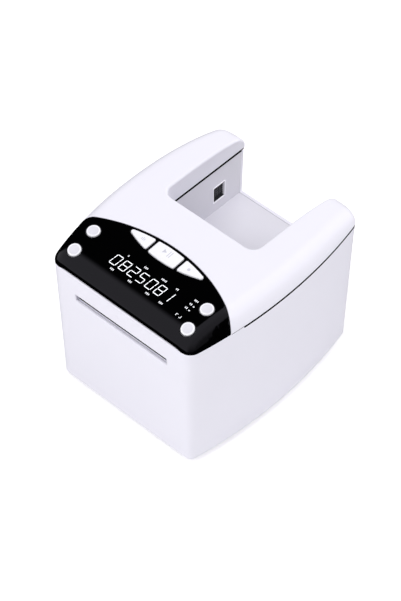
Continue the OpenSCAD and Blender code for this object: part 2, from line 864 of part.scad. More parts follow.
module turn_motor() {
    color(steel) translate([turn_p[0], turn_p[1], turn_top]) difference() {
        union() {
            translate([-6, -5, 0]) cube([12, 10, 9]);
            intersection() {
                translate([0, 0, 9]) cylinder(r = 6, h = 15);
                translate([-6, -5, 9]) cube([12, 10, 15]);
            }
        }
        translate([0, 0, -1]) cylinder(r = screw_r + run_c, h = 8);
    }
}

module turn_pinion() {
    color(gear_white) translate([turn_p[0], turn_p[1], 0]) union() {
        translate([0, 0, disc_top + 0.6]) spur(turn_teeth, ring_m, ring_top - disc_top - 0.6, 180, 1);
        translate([0, 0, disc_top + 0.6]) cylinder(r = screw_r, h = turn_top + 6 - disc_top - 0.6);
    }
}

cell_r = 9.2;
cell_len = 65;
cell_y = [-49, -29.6];
cell_z = 25;

module battery_cells() {
    color(cell_blue) for (y = cell_y) bar_x([y, cell_z], -cell_len / 2, cell_len, cell_r);
}

module battery_holder() {
    color(rubber_black) difference() {
        block([-cell_len / 2 - 1.5, cell_y[0] - cell_r - 1, turn_top],
            [cell_len / 2 + 1.5, cell_y[1] + cell_r + 1, cell_z]);
        for (y = cell_y) bar_x([y, cell_z], -cell_len / 2, cell_len, cell_r);
    }
}

board_rear_y = half_l - 9.5;

module main_board() {
    color(board_green) block([0.2 - side_x, board_rear_y, bottom_top], [side_x - 0.2, board_rear_y + 1.6, 50]);
}

module charge_port() {
    y0 = board_rear_y + 1.6;
    y1 = half_l - 2.3;
    color(steel) difference() {
        block([port_x - 4.5, y0, port_z - 1.65], [port_x + 4.5, y1, port_z + 1.65]);
        block([port_x - 4.1, y0 + 1, port_z - 1.25], [port_x + 4.1, y1 + 1, port_z - 0.35]);
        block([port_x - 4.1, y0 + 1, port_z + 0.35], [port_x + 4.1, y1 + 1, port_z + 1.25]);
        block([port_x - 4.1, y1 - 1.6, port_z - 1.25], [port_x + 4.1, y1 + 1, port_z + 1.25]);
    }
}

rocker_y = half_l - 4.8;
rocker_tilt = -6;

module power_rocker() {
    color(rubber_black) translate([rocker_x, rocker_y, port_z]) rotate([0, 0, rocker_tilt]) difference() {
        intersection() {
            translate([0, 0, -4.4]) cylinder(r = 6.4, h = 8.8);
            block([-6.4, -0.9, -5], [6.4, 3.4, 5]);
        }
        translate([0, 0, -5]) cylinder(r = 0.5 + run_c, h = 10);
    }
}

module rocker_housing() {
    y0 = board_rear_y + 1.6;
    color(rubber_black) translate([rocker_x, 0, port_z]) union() {
        block([-7.6, y0, -6], [7.6, y0 + 0.6, 6]);
        for (s = [-1, 1]) block([-2, y0, s > 0 ? 4.6 : -6], [2, rocker_y + 0.5, s > 0 ? 6 : -4.6]);
        translate([0, rocker_y, -6]) cylinder(r = 0.5, h = 12);
    }
}

module buzzer() {
    color(rubber_black) translate([-22, board_rear_y, 40]) rotate([90, 0, 0]) cylinder(r = 6, h = 6);
}

foot_ring();
base_disc();
ring_gear();
ring_gear_screws();
pivot_screw();
thrust_ring();
bottom_cover();
bottom_screws();
main_casing();
seam_gasket();
top_cover();
cover_screws();
control_panel();
display_module();
button_board();
board_screws();
tact_switches();
start_button();
left_button();
right_button();
round_button(-round_x, round_front_y);  // round_button_front_left
round_button(round_x, round_front_y);  // round_button_front_right
round_button(-round_x, round_rear_y);  // round_button_rear_left
round_button(round_x, round_rear_y);  // round_button_rear_right
slot_trim();
side_plate_left();
side_plate_right();
hopper_floor();
card_ramp();
stack_stop();
retard_pad();
upper_guide();
sensor_window_left();
sensor_window_right();
sensor_boards();
frame_bushes();
pickup_shaft();
pickup_rollers();
pickup_gear();
idler_pin();
idler_gear();
feed_motor();
feed_pinion();
exit_shaft();
exit_rollers();
exit_pulley();
exit_motor();
motor_pulley();
exit_belt();
pinch_shaft();
pinch_rollers();
turn_motor();
turn_pinion();
battery_cells();
battery_holder();
main_board();
charge_port();
rocker_housing();
power_rocker();
buzzer();
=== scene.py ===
import json
import math

import bmesh
import bpy
import numpy as np
from mathutils import Matrix, Vector
from mathutils.geometry import delaunay_2d_cdt


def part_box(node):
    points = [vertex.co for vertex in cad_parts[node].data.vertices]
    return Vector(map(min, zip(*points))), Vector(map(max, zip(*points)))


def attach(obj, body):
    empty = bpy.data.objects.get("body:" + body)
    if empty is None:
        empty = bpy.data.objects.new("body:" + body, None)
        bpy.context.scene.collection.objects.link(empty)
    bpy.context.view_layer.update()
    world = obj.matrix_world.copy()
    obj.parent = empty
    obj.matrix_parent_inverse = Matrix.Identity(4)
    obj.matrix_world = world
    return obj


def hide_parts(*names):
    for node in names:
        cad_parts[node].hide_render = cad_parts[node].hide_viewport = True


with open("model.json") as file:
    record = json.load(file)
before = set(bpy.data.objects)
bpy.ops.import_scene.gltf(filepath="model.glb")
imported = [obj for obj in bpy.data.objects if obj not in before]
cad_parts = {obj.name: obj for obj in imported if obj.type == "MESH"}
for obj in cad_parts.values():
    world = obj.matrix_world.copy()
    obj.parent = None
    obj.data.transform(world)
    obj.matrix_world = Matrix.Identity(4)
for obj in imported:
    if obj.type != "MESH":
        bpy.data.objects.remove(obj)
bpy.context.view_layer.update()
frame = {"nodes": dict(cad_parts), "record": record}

# Everything below is drawn in millimetres in the frame of the part and turned into metres in make_mesh.
MM = 0.001


def box_mm(node):
    lo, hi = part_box(node)
    return np.array(lo) / MM, np.array(hi) / MM


CASE_LO, CASE_HI = box_mm("main_casing")
HALF_L = CASE_HI[1]
SEAM = CASE_HI[2]
CASE_Z = CASE_LO[2]
FLOOR_Z = box_mm("hopper_floor")[1][2]
HOPPER = box_mm("hopper_floor")[1][0]
SLOT_LO, SLOT_HI = box_mm("slot_trim")

# The plan of the body and the form of its crown, as the part has them
HALF_W = 56.4
SIDE_R = 290.0
CORNER_R = 7.0
DRAFT = 2.6
WALL = 2.0
CROWN_H = 13.2
CROWN_Y = 55.0
NOSE_H = 1.2
REAR_DROP = 5.5
SHOULDER = 8.5
BOW = 2.2
TAIL_BOW = 4.0
TAIL_R = 7.0
GAP_H = 1.2
GAP_Y = 34.7 - HALF_L
OPEN_Y = 67.0 - HALF_L
OPEN_R = 6.0
PANEL_R = 98.0
PANEL_CY = 42.0 - HALF_L - PANEL_R
PANEL_T = 1.6
PANEL_GAP = 0.15
SIDE_C = SIDE_R - HALF_W
BODY_LEN = 2 * HALF_L


# ---------------------------------------------------------------- form of the crown
def fillet_of(i):
    r = CORNER_R - i
    yc = HALF_L - i - r
    xc = math.sqrt((SIDE_R - i - r) ** 2 - yc**2) - SIDE_C
    return r, xc, yc, math.atan2(yc, xc + SIDE_C)


def plan_w(y, i=0.0):
    """Half width of the plan at y, with inset i."""
    r, xc, yc, a = fillet_of(i)
    y = np.abs(np.asarray(y, float))
    side = np.sqrt(np.maximum((SIDE_R - i) ** 2 - y**2, 0)) - SIDE_C
    corner = xc + np.sqrt(np.maximum(r**2 - (y - yc) ** 2, 0))
    return np.where(y < (SIDE_R - i) * math.sin(a), side, corner)


def crown_z(y, i=0.0):
    """Height of the crown above the seam on the centre line."""
    d = np.asarray(y, float) + HALF_L
    t = np.clip((CROWN_Y - d) / (CROWN_Y - i), 0, 1)
    nose = NOSE_H + (CROWN_H - NOSE_H - i) * (1 - t**BOW) ** (1 / BOW)
    over = np.maximum(0, d + i + TAIL_R - BODY_LEN)
    tail = CROWN_H - i - REAR_DROP * (np.maximum(d - CROWN_Y, 0) / (BODY_LEN - CROWN_Y)) ** TAIL_BOW
    tail = tail - TAIL_R + np.sqrt(np.maximum(TAIL_R**2 - 0.75 * over**2, 0))
    return np.where(d < CROWN_Y, nose, tail)


def crown(x, y, i=0.0):
    s = (np.abs(x) - plan_w(y, i) + SHOULDER - i) / (SHOULDER - i)
    k = np.sqrt(np.clip(1 - np.maximum(s, 0) ** 2, 0, 1))
    return SEAM + crown_z(y, i) * k


def crown_slope(y):
    return math.atan2(float(crown_z(y + 1) - crown_z(y - 1)), 2)


def on_crown(x, y):
    """Matrix of the crown's local frame at x, y: local Z is the outward normal on the centre line."""
    place = Matrix.Translation((x, y, float(crown(x, y))))
    return place @ Matrix.Rotation(crown_slope(y), 4, "X")


# ---------------------------------------------------------------- mesh tools
def make_mesh(name, verts, faces, body, mat, matrix=None, sharp=35, weighted=False):
    """A mesh object from millimetre points, riding on a body."""
    pts = [Vector(v) for v in verts]
    if matrix is not None:
        pts = [matrix @ p for p in pts]
    mesh = bpy.data.meshes.new(name)
    mesh.from_pydata([p * MM for p in pts], [], faces)
    mesh.validate()
    mesh.shade_smooth()
    mesh.set_sharp_from_angle(angle=math.radians(sharp))
    obj = bpy.data.objects.new(name, mesh)
    bpy.context.scene.collection.objects.link(obj)
    obj.data.materials.append(mat)
    if weighted:
        obj.modifiers.new("normals", "WEIGHTED_NORMAL").keep_sharp = True
    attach(obj, body)
    return obj


def mitre(pts, closed):
    """Unit-distance offset vectors to the left of a polyline."""
    prev, after = np.roll(pts, 1, 0), np.roll(pts, -1, 0)
    a, b = pts - prev, after - pts
    if not closed:
        a[0], b[-1] = b[0], a[-1]
    a /= np.linalg.norm(a, axis=1)[:, None]
    b /= np.linalg.norm(b, axis=1)[:, None]
    na, nb = np.stack([-a[:, 1], a[:, 0]], 1), np.stack([-b[:, 1], b[:, 0]], 1)
    return (na + nb) / np.maximum(1 + (na * nb).sum(1), 0.35)[:, None]


def resample(pts, step, closed=True):
    """Cuts the long stretches of a polyline, keeping its own points."""
    out = []
    n = len(pts)
    for k in range(n if closed else n - 1):
        a, b = np.array(pts[k], float), np.array(pts[(k + 1) % n], float)
        m = max(1, int(math.ceil(np.linalg.norm(b - a) / step)))
        out += [a + (b - a) * j / m for j in range(m)]
    if not closed:
        out.append(np.array(pts[-1], float))
    return np.array(out)


def inside(p, poly):
    """Even-odd test of many points against one polygon."""
    hit = np.zeros(len(p), bool)
    q = np.roll(poly, -1, 0)
    for (x1, y1), (x2, y2) in zip(poly, q):
        if y1 == y2:
            continue
        cross = (y1 > p[:, 1]) != (y2 > p[:, 1])
        hit ^= cross & (p[:, 0] < (x2 - x1) * (p[:, 1] - y1) / (y2 - y1) + x1)
    return hit


def distance(p, line, closed=True):
    """Distance of many points from a polyline, and the number of the nearest stretch."""
    a = line if closed else line[:-1]
    b = np.roll(line, -1, 0) if closed else line[1:]
    best, which = np.full(len(p), 1e9), np.zeros(len(p), int)
    for k in range(len(a)):
        d = b[k] - a[k]
        t = np.clip(((p - a[k]) @ d) / max(d @ d, 1e-12), 0, 1)
        r = np.hypot(*(p - a[k] - t[:, None] * d).T)
        closer = r < best
        best[closer], which[closer] = r[closer], k
    return best, which


def fill(lines, outer, holes, spacing):
    """Triangles of a region.

    lines is a list of (points, closed, ring distances) with the material on their left.
    """
    pts, edges, rims = [], [], []
    for line, closed, rings in lines:
        m = mitre(line, closed)
        for d in rings:
            start = len(pts)
            pts += list(line + m * d)
            n = len(line)
            edges += [(start + k, start + (k + 1) % n) for k in range(n if closed else n - 1)]
            if d == 0:
                rims.append((start, n, closed))
    lo, hi = outer.min(0), outer.max(0)
    rows = np.arange(lo[1] + spacing / 2, hi[1], spacing * 0.866)
    grid = []
    for k, v in enumerate(rows):
        u = np.arange(lo[0] + spacing * (0.25 + 0.5 * (k % 2)), hi[0], spacing)
        grid.append(np.stack([u, np.full(len(u), v)], 1))
    grid = np.concatenate(grid) if grid else np.zeros((0, 2))
    keep = inside(grid, outer)
    for h in holes:
        keep &= ~inside(grid, h)
    grid = grid[keep]
    for line, closed, rings in lines:
        grid = grid[distance(grid, line, closed)[0] > max(rings) + 0.55 * spacing]
    pts += list(grid)
    got = delaunay_2d_cdt([Vector(p) for p in pts], edges, [], 0, 1e-7)
    verts, tris, origin = np.array([tuple(v) for v in got[0]]), got[2], got[3]
    tris = np.array([t for t in tris if len(t) == 3])
    mid = verts[tris].mean(1)
    keep = inside(mid, outer)
    for h in holes:
        keep &= ~inside(mid, h)
    tris = tris[keep]
    a, b, c = verts[tris[:, 0]], verts[tris[:, 1]], verts[tris[:, 2]]
    ab, ac = b - a, c - a
    area = ab[:, 0] * ac[:, 1] - ab[:, 1] * ac[:, 0]
    tris[area < 0] = tris[area < 0][:, ::-1]
    new_of = {}
    for new, olds in enumerate(origin):
        for old in olds:
            new_of[old] = new
    rims = [([new_of[s + k] for k in range(n)], closed) for s, n, closed in rims]
    return verts, tris[np.abs(area) > 1e-9], rims


def drop(d, r):
    """Depth of a rounded edge of radius r at distance d from it."""
    return np.where(d < r, r - np.sqrt(np.maximum(r * r - (r - d) ** 2, 0)), 0)


def shell(name, lines, outer, holes, spacing, top, bottom, body, mat, radii, **more):
    """A closed piece over a region.

    top turns plan points and their depth into 3-D points, bottom the points and their distance from an edge.
    """
    verts, tris, rims = fill(lines, outer, holes, spacing)
    depth, edge = np.zeros(len(verts)), np.full(len(verts), 1e9)
    for (line, closed, rings), radius in zip(lines, radii):
        d, which = distance(verts, line, closed)
        r = np.asarray(radius, float)
        r = r[which] if r.ndim else np.full(len(d), float(r))
        depth, edge = np.maximum(depth, drop(d, r)), np.minimum(edge, d)
    upper, lower = top(verts, depth), bottom(verts, edge)
    n = len(verts)
    faces = [tuple(int(i) for i in t) for t in tris]
    faces += [(int(c) + n, int(b) + n, int(a) + n) for a, b, c in tris]
    for rim, closed in rims:
        m = len(rim)
        for k in range(m if closed else m - 1):
            a, b = rim[k], rim[(k + 1) % m]
            faces.append((b, a, a + n, b + n))
    return make_mesh(name, np.concatenate([upper, lower]), faces, body, mat, **more)


def weld(obj, gap=0.002):
    """Joins points that lie on each other."""
    bm = bmesh.new()
    bm.from_mesh(obj.data)
    bmesh.ops.remove_doubles(bm, verts=bm.verts, dist=gap * MM)
    bmesh.ops.dissolve_degenerate(bm, dist=0.0002 * MM, edges=bm.edges)
    bm.to_mesh(obj.data)
    bm.free()
    obj.data.shade_smooth()
    obj.data.set_sharp_from_angle(angle=math.radians(35))


def arc(cx, cy, r, a0, a1, n):
    """Points of an arc, angles in degrees."""
    t = np.radians(np.linspace(a0, a1, n))
    return np.stack([cx + r * np.cos(t), cy + r * np.sin(t)], 1)


def rounded(poly, r, n=5):
    """A convex polygon with its corners rounded."""
    out = []
    p = np.array(poly, float)
    for k in range(len(p)):
        a, b, c = p[k - 1], p[k], p[(k + 1) % len(p)]
        u, v = (a - b) / np.linalg.norm(a - b), (c - b) / np.linalg.norm(c - b)
        half = math.acos(np.clip(u @ v, -1, 1)) / 2
        rr = r[k] if hasattr(r, "__len__") else r
        s = rr / math.tan(half)
        centre = b + (u + v) / np.linalg.norm(u + v) * rr / math.sin(half)
        p0, p1 = b + u * s - centre, b + v * s - centre
        a0, a1 = math.atan2(p0[1], p0[0]), math.atan2(p1[1], p1[0])
        turn = (a1 - a0 + math.pi) % (2 * math.pi) - math.pi
        out += turned(centre, rr, a0, turn, n)
    return np.array(out)


def turned(centre, r, start, sweep, n):
    """n + 1 points of an arc that starts at an angle and sweeps another, both in radians."""
    angles = start + sweep * np.arange(n + 1) / n
    return list(centre + r * np.stack([np.cos(angles), np.sin(angles)], 1))


def bar(cx, cy, w, h):
    """Corners of a rectangle, anticlockwise from its lower left."""
    x0, x1, y0, y1 = cx - w / 2, cx + w / 2, cy - h / 2, cy + h / 2
    return [(x0, y0), (x1, y0), (x1, y1), (x0, y1)]


def rect(cx, cy, w, h, r=0.4, n=4):
    return rounded(bar(cx, cy, w, h), r, n)


def circle(cx, cy, r, n):
    return [(cx + r * math.cos(a), cy + r * math.sin(a)) for a in np.linspace(0, 2 * math.pi, n + 1)[:-1]]


def lathe(profile, n=48):
    """Points and faces of a closed profile of (radius, height) turned round Z."""
    verts, faces = [], []
    m = len(profile)
    for k in range(n):
        c, s = math.cos(2 * math.pi * k / n), math.sin(2 * math.pi * k / n)
        verts += [(r * c, r * s, z) for r, z in profile]
    for k in range(n):
        for j in range(m):
            a, b = k * m + j, k * m + (j + 1) % m
            c, d = ((k + 1) % n) * m + (j + 1) % m, ((k + 1) % n) * m + j
            faces.append((a, d, c, b))
    return verts, faces


# ---------------------------------------------------------------- materials
def material(name, colour, rough, bump=0.0, grain=2500, mottle=0.02, coat=0.0, metal=0.0, glow=0.0, spec=0.5):
    """A procedural plastic, rubber or metal.

    grain is the bump's frequency per metre, mottle the colour's variation.
    """
    mat = bpy.data.materials.new(name)
    mat.use_nodes = True
    nodes, links = mat.node_tree.nodes, mat.node_tree.links
    bsdf = nodes["Principled BSDF"]
    bsdf.inputs["Metallic"].default_value = metal
    bsdf.inputs["Coat Weight"].default_value = coat
    bsdf.inputs["Coat Roughness"].default_value = 0.04
    bsdf.inputs["Specular IOR Level"].default_value = spec
    where = nodes.new("ShaderNodeTexCoord")
    cloud = nodes.new("ShaderNodeTexNoise")
    cloud.inputs["Scale"].default_value = 60.0
    cloud.inputs["Detail"].default_value = 3.0
    links.new(where.outputs["Object"], cloud.inputs["Vector"])
    tint = nodes.new("ShaderNodeMix")
    tint.data_type = "RGBA"
    tint.inputs["A"].default_value = (*[c * (1 - mottle) for c in colour], 1)
    tint.inputs["B"].default_value = (*[min(1, c * (1 + mottle)) for c in colour], 1)
    links.new(cloud.outputs["Fac"], tint.inputs["Factor"])
    links.new(tint.outputs["Result"], bsdf.inputs["Base Color"])
    ramp = nodes.new("ShaderNodeMapRange")
    ramp.inputs["To Min"].default_value = rough * 0.92
    ramp.inputs["To Max"].default_value = rough * 1.08
    links.new(cloud.outputs["Fac"], ramp.inputs["Value"])
    links.new(ramp.outputs["Result"], bsdf.inputs["Roughness"])
    if bump:
        fine = nodes.new("ShaderNodeTexNoise")
        fine.inputs["Scale"].default_value = grain
        fine.inputs["Detail"].default_value = 2.0
        links.new(where.outputs["Object"], fine.inputs["Vector"])
        relief = nodes.new("ShaderNodeBump")
        relief.inputs["Strength"].default_value = bump
        relief.inputs["Distance"].default_value = 0.00004
        links.new(fine.outputs["Fac"], relief.inputs["Height"])
        links.new(relief.outputs["Normal"], bsdf.inputs["Normal"])
    if glow:
        links.new(tint.outputs["Result"], bsdf.inputs["Emission Color"])
        bsdf.inputs["Emission Strength"].default_value = glow
    return mat


WHITE = material("shell_white", (0.80, 0.79, 0.865), 0.40, bump=0.15, grain=3000, mottle=0.008, spec=0.4)
PANEL = material("panel_black", (0.0005, 0.0005, 0.0006), 0.07, mottle=0.1, spec=0.25)
panel_bsdf = PANEL.node_tree.nodes["Principled BSDF"]
panel_bsdf.inputs["Specular Tint"].default_value = (0.88, 0.86, 1.0, 1)
BUTTON = material("button_white", (0.86, 0.86, 0.90), 0.34, bump=0.08, grain=4000, mottle=0.008)
# Painted shade: a darker copy of the button white for the round buttons' concave faces
DISH_SHADE = material("button_dish_shade", (0.70, 0.69, 0.75), 0.42, bump=0.2, grain=3500, mottle=0.02)
TRIM = material("trim_grey", (0.62, 0.62, 0.66), 0.45, bump=0.2, grain=3000)
FRAME = material("frame_grey", (0.70, 0.69, 0.75), 0.5, bump=0.3, grain=2500)
RUBBER = material("rubber_black", (0.012, 0.012, 0.013), 0.75, bump=0.6, grain=1800, mottle=0.15)
BLACK = material("black_plastic", (0.02, 0.02, 0.022), 0.5, bump=0.4, grain=2500, mottle=0.1)
GEAR = material("gear_white", (0.78, 0.76, 0.68), 0.4, bump=0.1, grain=3000)
STEEL = material("steel", (0.55, 0.56, 0.58), 0.32, bump=0.15, grain=5000, metal=1.0, mottle=0.05)
BRONZE = material("bronze", (0.50, 0.30, 0.12), 0.38, bump=0.2, grain=3500, metal=1.0, mottle=0.08)
BOARD = material("board_green", (0.01, 0.11, 0.045), 0.35, bump=0.2, grain=1500, mottle=0.12, coat=0.3)
CELL = material("cell_blue", (0.02, 0.09, 0.30), 0.3, bump=0.1, grain=1500, mottle=0.05, coat=0.3)
# Painted light: a faint emission so the sensor frames' edges read as catching the light
BEZEL_GLOW = material("bezel_white_glow", (0.90, 0.89, 0.94), 0.35, mottle=0.01, glow=0.05)
# Painted shade: the black of the strips in the seam gap, which stand in for the gap's shade
SEAM_SHADE = material("seam_shade_black", (0.003, 0.003, 0.003), 0.9, bump=0.3, mottle=0.1, spec=0.08)
# The dark of the window pane and its grill, also used as painted shadow on the sill below the pane
PANE_AND_SHADE = material("window_dark_and_shade", (0.03, 0.03, 0.035), 0.25, mottle=0.1)
LIT = material("display_light", (0.85, 0.87, 0.9), 0.5, glow=0.75)
PRINT = material("print_grey", (0.58, 0.58, 0.66), 0.5, mottle=0.02)
MARK = material("print_light", (0.7, 0.71, 0.74), 0.5, glow=0.35)

# Material of each slot, for the CAD nodes that stay in view
SLOTS = {
    "shell_white": WHITE, "panel_black": PANEL, "button_white": BUTTON, "trim_grey": TRIM,
    "frame_grey": FRAME, "rubber_black": RUBBER, "black_plastic": BLACK, "gear_white": GEAR,
    "steel": STEEL, "bronze": BRONZE, "board_green": BOARD, "cell_blue": CELL,
}
for row in frame["record"]["subparts"]:
    obj = frame["nodes"][row["node"]]
    obj.data.materials.clear()
    obj.data.materials.append(SLOTS[row["material_slot"]])


# ---------------------------------------------------------------- casing
def outline_track():
    """The body's plan, anticlockwise from mid-rear: its points, the angles of its normals, the run length."""
    r, xc, yc, a = fillet_of(0)
    a = math.degrees(a)
    pts = [(0, HALF_L), (-xc, HALF_L)]
    ang = [90.0, 90.0]
    for t in np.linspace(90, 180 - a, 13)[1:]:
        pts.append((-xc + r * math.cos(math.radians(t)), yc + r * math.sin(math.radians(t))))
        ang.append(t)
    for t in np.linspace(180 - a, 180 + a, 61)[1:]:
        pts.append((SIDE_C + SIDE_R * math.cos(math.radians(t)), SIDE_R * math.sin(math.radians(t))))
        ang.append(t)
    for t in np.linspace(180 + a, 270, 13)[1:]:
        pts.append((-xc + r * math.cos(math.radians(t)), -yc + r * math.sin(math.radians(t))))
        ang.append(t)
    pts.append((0, -HALF_L))
    ang.append(270.0)
    half = np.array(pts)
    other = half[::-1][1:] * [-1, 1]
    ang = np.array(ang)
    ang = np.concatenate([ang, (540 - ang)[::-1][1:]])
    pts = np.concatenate([half, other])
    run = np.concatenate([[0], np.cumsum(np.hypot(*np.diff(pts, axis=0).T))])
    return pts, ang, run


TRACK, TRACK_A, RUN = outline_track()
ROUND = RUN[-1]


def on_wall(u, v, d):
    """A point d under the casing's outer face, at run length u and height v."""
    x, y = np.interp(u, RUN, TRACK[:, 0]), np.interp(u, RUN, TRACK[:, 1])
    a = np.radians(np.interp(u, RUN, TRACK_A))
    inset = d + DRAFT * (SEAM - v) / (SEAM - CASE_Z)
    return np.stack([x - inset * np.cos(a), y - inset * np.sin(a), v], 1)


def run_at(y):
    """Run length where the plan passes y on its left side."""
    half = RUN[: len(RUN) // 2 + 1]
    return np.interp(-y, -TRACK[: len(half), 1][2:], half[2:])


def wall_opening(u, v, half_u, half_v, r, n):
    """A rounded opening in the wrapped wall, clockwise, so that the material lies on its left."""
    corners = bar(u, v, 2 * half_u, 2 * half_v)
    return resample(rounded([corners[k] for k in (0, 3, 2, 1)], r, n), 3.0)


def casing_top():
    """The casing's upper edge over the run length, from the rear's middle round to the rear's middle."""
    notch_r, foot_r, step = 1.6, 0.8, 0.4
    top_rear = SEAM - GAP_H
    u0, u1 = HOPPER, run_at(GAP_Y)
    half = [(0, FLOOR_Z)]
    for t in np.radians([0, 30, 60, 90]):
        half.append((u0 - foot_r + foot_r * math.sin(t), FLOOR_Z + foot_r - foot_r * math.cos(t)))
    for t in np.radians([0, 22, 45, 68, 90]):
        half.append((u0 + notch_r - notch_r * math.cos(t), top_rear - notch_r + notch_r * math.sin(t)))
    half += [(u1 - step, top_rear), (u1 + step, SEAM), (ROUND / 2, SEAM)]
    other = [(ROUND - u, v) for u, v in half[::-1][1:]]
    line = np.array(half + other)
    cuts = [line[0]]
    for a, b in zip(line[:-1], line[1:]):
        if abs(b[0] - a[0]) > 1:
            inner = [m for m in RUN[1:-1] if a[0] + 0.2 < m < b[0] - 0.2]
            cuts += [a + (b - a) * (m - a[0]) / (b[0] - a[0]) for m in inner]
        cuts.append(b)
    return resample(np.array(cuts), 4.0, False)[::-1]


def casing():
    top_line = casing_top()
    foot = resample(np.array([(m, CASE_Z) for m in RUN]), 4.0, False)
    seam_v = np.linspace(CASE_Z, FLOOR_Z, 14)
    ends = [(ROUND, v) for v in seam_v[1:-1]], [(0, v) for v in seam_v[1:-1][::-1]]
    outer = np.concatenate([foot, ends[0], top_line, ends[1]])
    slot_v = (SLOT_HI[2] + SLOT_LO[2]) / 2
    slot = wall_opening(ROUND / 2, slot_v, SLOT_HI[0] - 1.0, (SLOT_HI[2] - SLOT_LO[2]) / 2 - 1.0, 0.5, 4)
    port_lo, port_hi = box_mm("charge_port")
    port_x, port_v = (port_lo[0] + port_hi[0]) / 2, (port_lo[2] + port_hi[2]) / 2
    port = wall_opening(ROUND - port_x, port_v, 5, 2.2, 2.1, 8)
    rock_lo, rock_hi = box_mm("power_rocker")
    rock = wall_opening(-(rock_lo[0] + rock_hi[0]) / 2, port_v, 6.9, 4.6, 1.0, 5)
    holes = [slot, port, rock]
    lines = [(foot, False, [0, 0.15, 0.4, 0.8, 1.2]), (top_line, False, [0, 0.08, 0.2, 0.35])]
    lines += [(h, True, [0, 0.1, 0.25, 0.5, 0.8]) for h in holes]
    radii = [0.8, 0.35, 0.6, 0.5, 0.5]
    cut = [(np.array([(0, v) for v in seam_v[::-1]]), False, [0])]
    cut.append((np.array([(ROUND, v) for v in seam_v]), False, [0]))
    obj = shell_open("casing_shell", lines + cut, outer, holes, 4.0, radii, len(lines))
    weld(obj)
    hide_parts("main_casing")


def shell_open(name, lines, outer, holes, spacing, radii, real):
    """The casing's shell: its last lines are only the cut where the wrapped wall meets itself."""
    verts, tris, rims = fill(lines, outer, holes, spacing)
    depth = np.zeros(len(verts))
    for (line, closed, rings), r in zip(lines[:real], radii):
        depth = np.maximum(depth, drop(distance(verts, line, closed)[0], r))
    upper = on_wall(verts[:, 0], verts[:, 1], depth)
    slot_line = lines[2][0]
    lower = on_wall(verts[:, 0], verts[:, 1], WALL - drop(distance(verts, slot_line, True)[0], 1.0))
    n = len(verts)
    faces = [tuple(int(i) for i in t) for t in tris]
    faces += [(int(c) + n, int(b) + n, int(a) + n) for a, b, c in tris]
    for rim, closed in rims[:real]:
        m = len(rim)
        for k in range(m if closed else m - 1):
            a, b = rim[k], rim[(k + 1) % m]
            faces.append((b, a, a + n, b + n))
    return make_mesh(name, np.concatenate([upper, lower]), faces, "machine", WHITE, weighted=True)


# ---------------------------------------------------------------- cover, panel and the seam's painted shade
def right_edge(y0, y1, i=0.0, step=3.0):
    """Plan points of the right-hand outline from y0 to y1."""
    r, xc, yc, a = fillet_of(i)
    a = math.degrees(a)
    front = arc(xc, -yc, r, -90, -a, 13)
    side = arc(-SIDE_C, 0, SIDE_R - i, -a, a, 61)
    rear = arc(xc, yc, r, a, 90, 13)
    pts = np.concatenate([front, side[1:], rear[1:]])
    keep = (pts[:, 1] > y0 + 0.4) & (pts[:, 1] < y1 - 0.4)
    ends = [[float(plan_w(y, i)), y] for y in (y0, y1)]
    return np.concatenate([[ends[0]], pts[keep], [ends[1]]])


def panel_tip(g, i=0.0):
    """Where the panel's rear arc, grown by g, meets the right-hand outline."""
    y = PANEL_CY + PANEL_R
    for _ in range(60):
        x = float(plan_w(y, i))
        y = PANEL_CY + math.sqrt((PANEL_R + g) ** 2 - x * x)
    return x, y


def panel_arc(g, i=0.0, n=61):
    """The panel's rear arc from its right-hand tip to its left-hand tip."""
    x, y = panel_tip(g, i)
    a = math.degrees(math.atan2(y - PANEL_CY, x))
    return arc(0, PANEL_CY, PANEL_R + g, a, 180 - a, n)


def mouth(g=0.0):
    """The hopper mouth's edge from the rear right, forward, across and back along the left."""
    x, r = HOPPER - 0.5 + g, OPEN_R + g
    y = OPEN_Y - g
    right = np.array([[x, v] for v in np.linspace(HALF_L, y + r, 16)])
    left = right[::-1] * [-1, 1]
    corner = arc(x - r, y + r, r, 0, -90, 13)
    front = np.array([[v, y] for v in np.linspace(x - r, r - x, 16)])
    return np.concatenate([right, corner[1:], front[1:-1], corner[::-1][:-1] * [-1, 1], left])


def cover():
    tip = panel_tip(0.0)
    right = right_edge(tip[1], HALF_L)
    left = right[::-1] * [-1, 1]
    edge_arc = panel_arc(0.0)[::-1]
    inner = mouth()
    arm = np.linspace(right[-1][0], inner[0][0], 5)[1:-1]
    arm_right = np.array([[x, HALF_L] for x in arm])
    arm_left = arm_right[::-1] * [-1, 1]
    parts = [(edge_arc[:-1], 0.3), (right, 0.0), (arm_right, 0.0), (inner, 1.5)]
    parts += [(arm_left, 0.0), (left[:-1], 0.0)]
    line = np.concatenate([p for p, _ in parts])
    radius = np.concatenate([np.full(len(p), r) for p, r in parts])
    rings = [0, 0.05, 0.15, 0.35, 0.65, 1.05, 1.5, 2.0, 2.8]

    def top(p, depth):
        z = np.maximum(crown(p[:, 0], p[:, 1]) - depth, SEAM + 0.02)
        return np.stack([p[:, 0], p[:, 1], z], 1)

    def under(p, edge):
        z = np.where(edge < WALL + 0.01, SEAM, np.maximum(crown(p[:, 0], p[:, 1], WALL), SEAM))
        return np.stack([p[:, 0], p[:, 1], z], 1)

    lines = [(line, True, rings)]
    obj = shell("cover_shell", lines, line, [], 1.5, top, under, "machine", WHITE, [radius], weighted=True)
    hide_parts("top_cover")


# Places and sizes of the buttons; the shaped ones lie between two arcs about points on the centre line
ROUND_X = 40.0
ROUND_Y = {"front": 8.65 - HALF_L, "rear": 22.86 - HALF_L}
ROUND_R = 3.9
LENS_Y = 35.6 - HALF_L
LENS_TOP_R = PANEL_R - 1.8
LENS_LOW_R = 69.0
LENS_LOW_CY = 30.3 - HALF_L + LENS_LOW_R
LENS_SIDE_X = (10.65, 23.9)
LENS_MID_X = (-9.05, 9.05)
BUTTON_C = 0.2


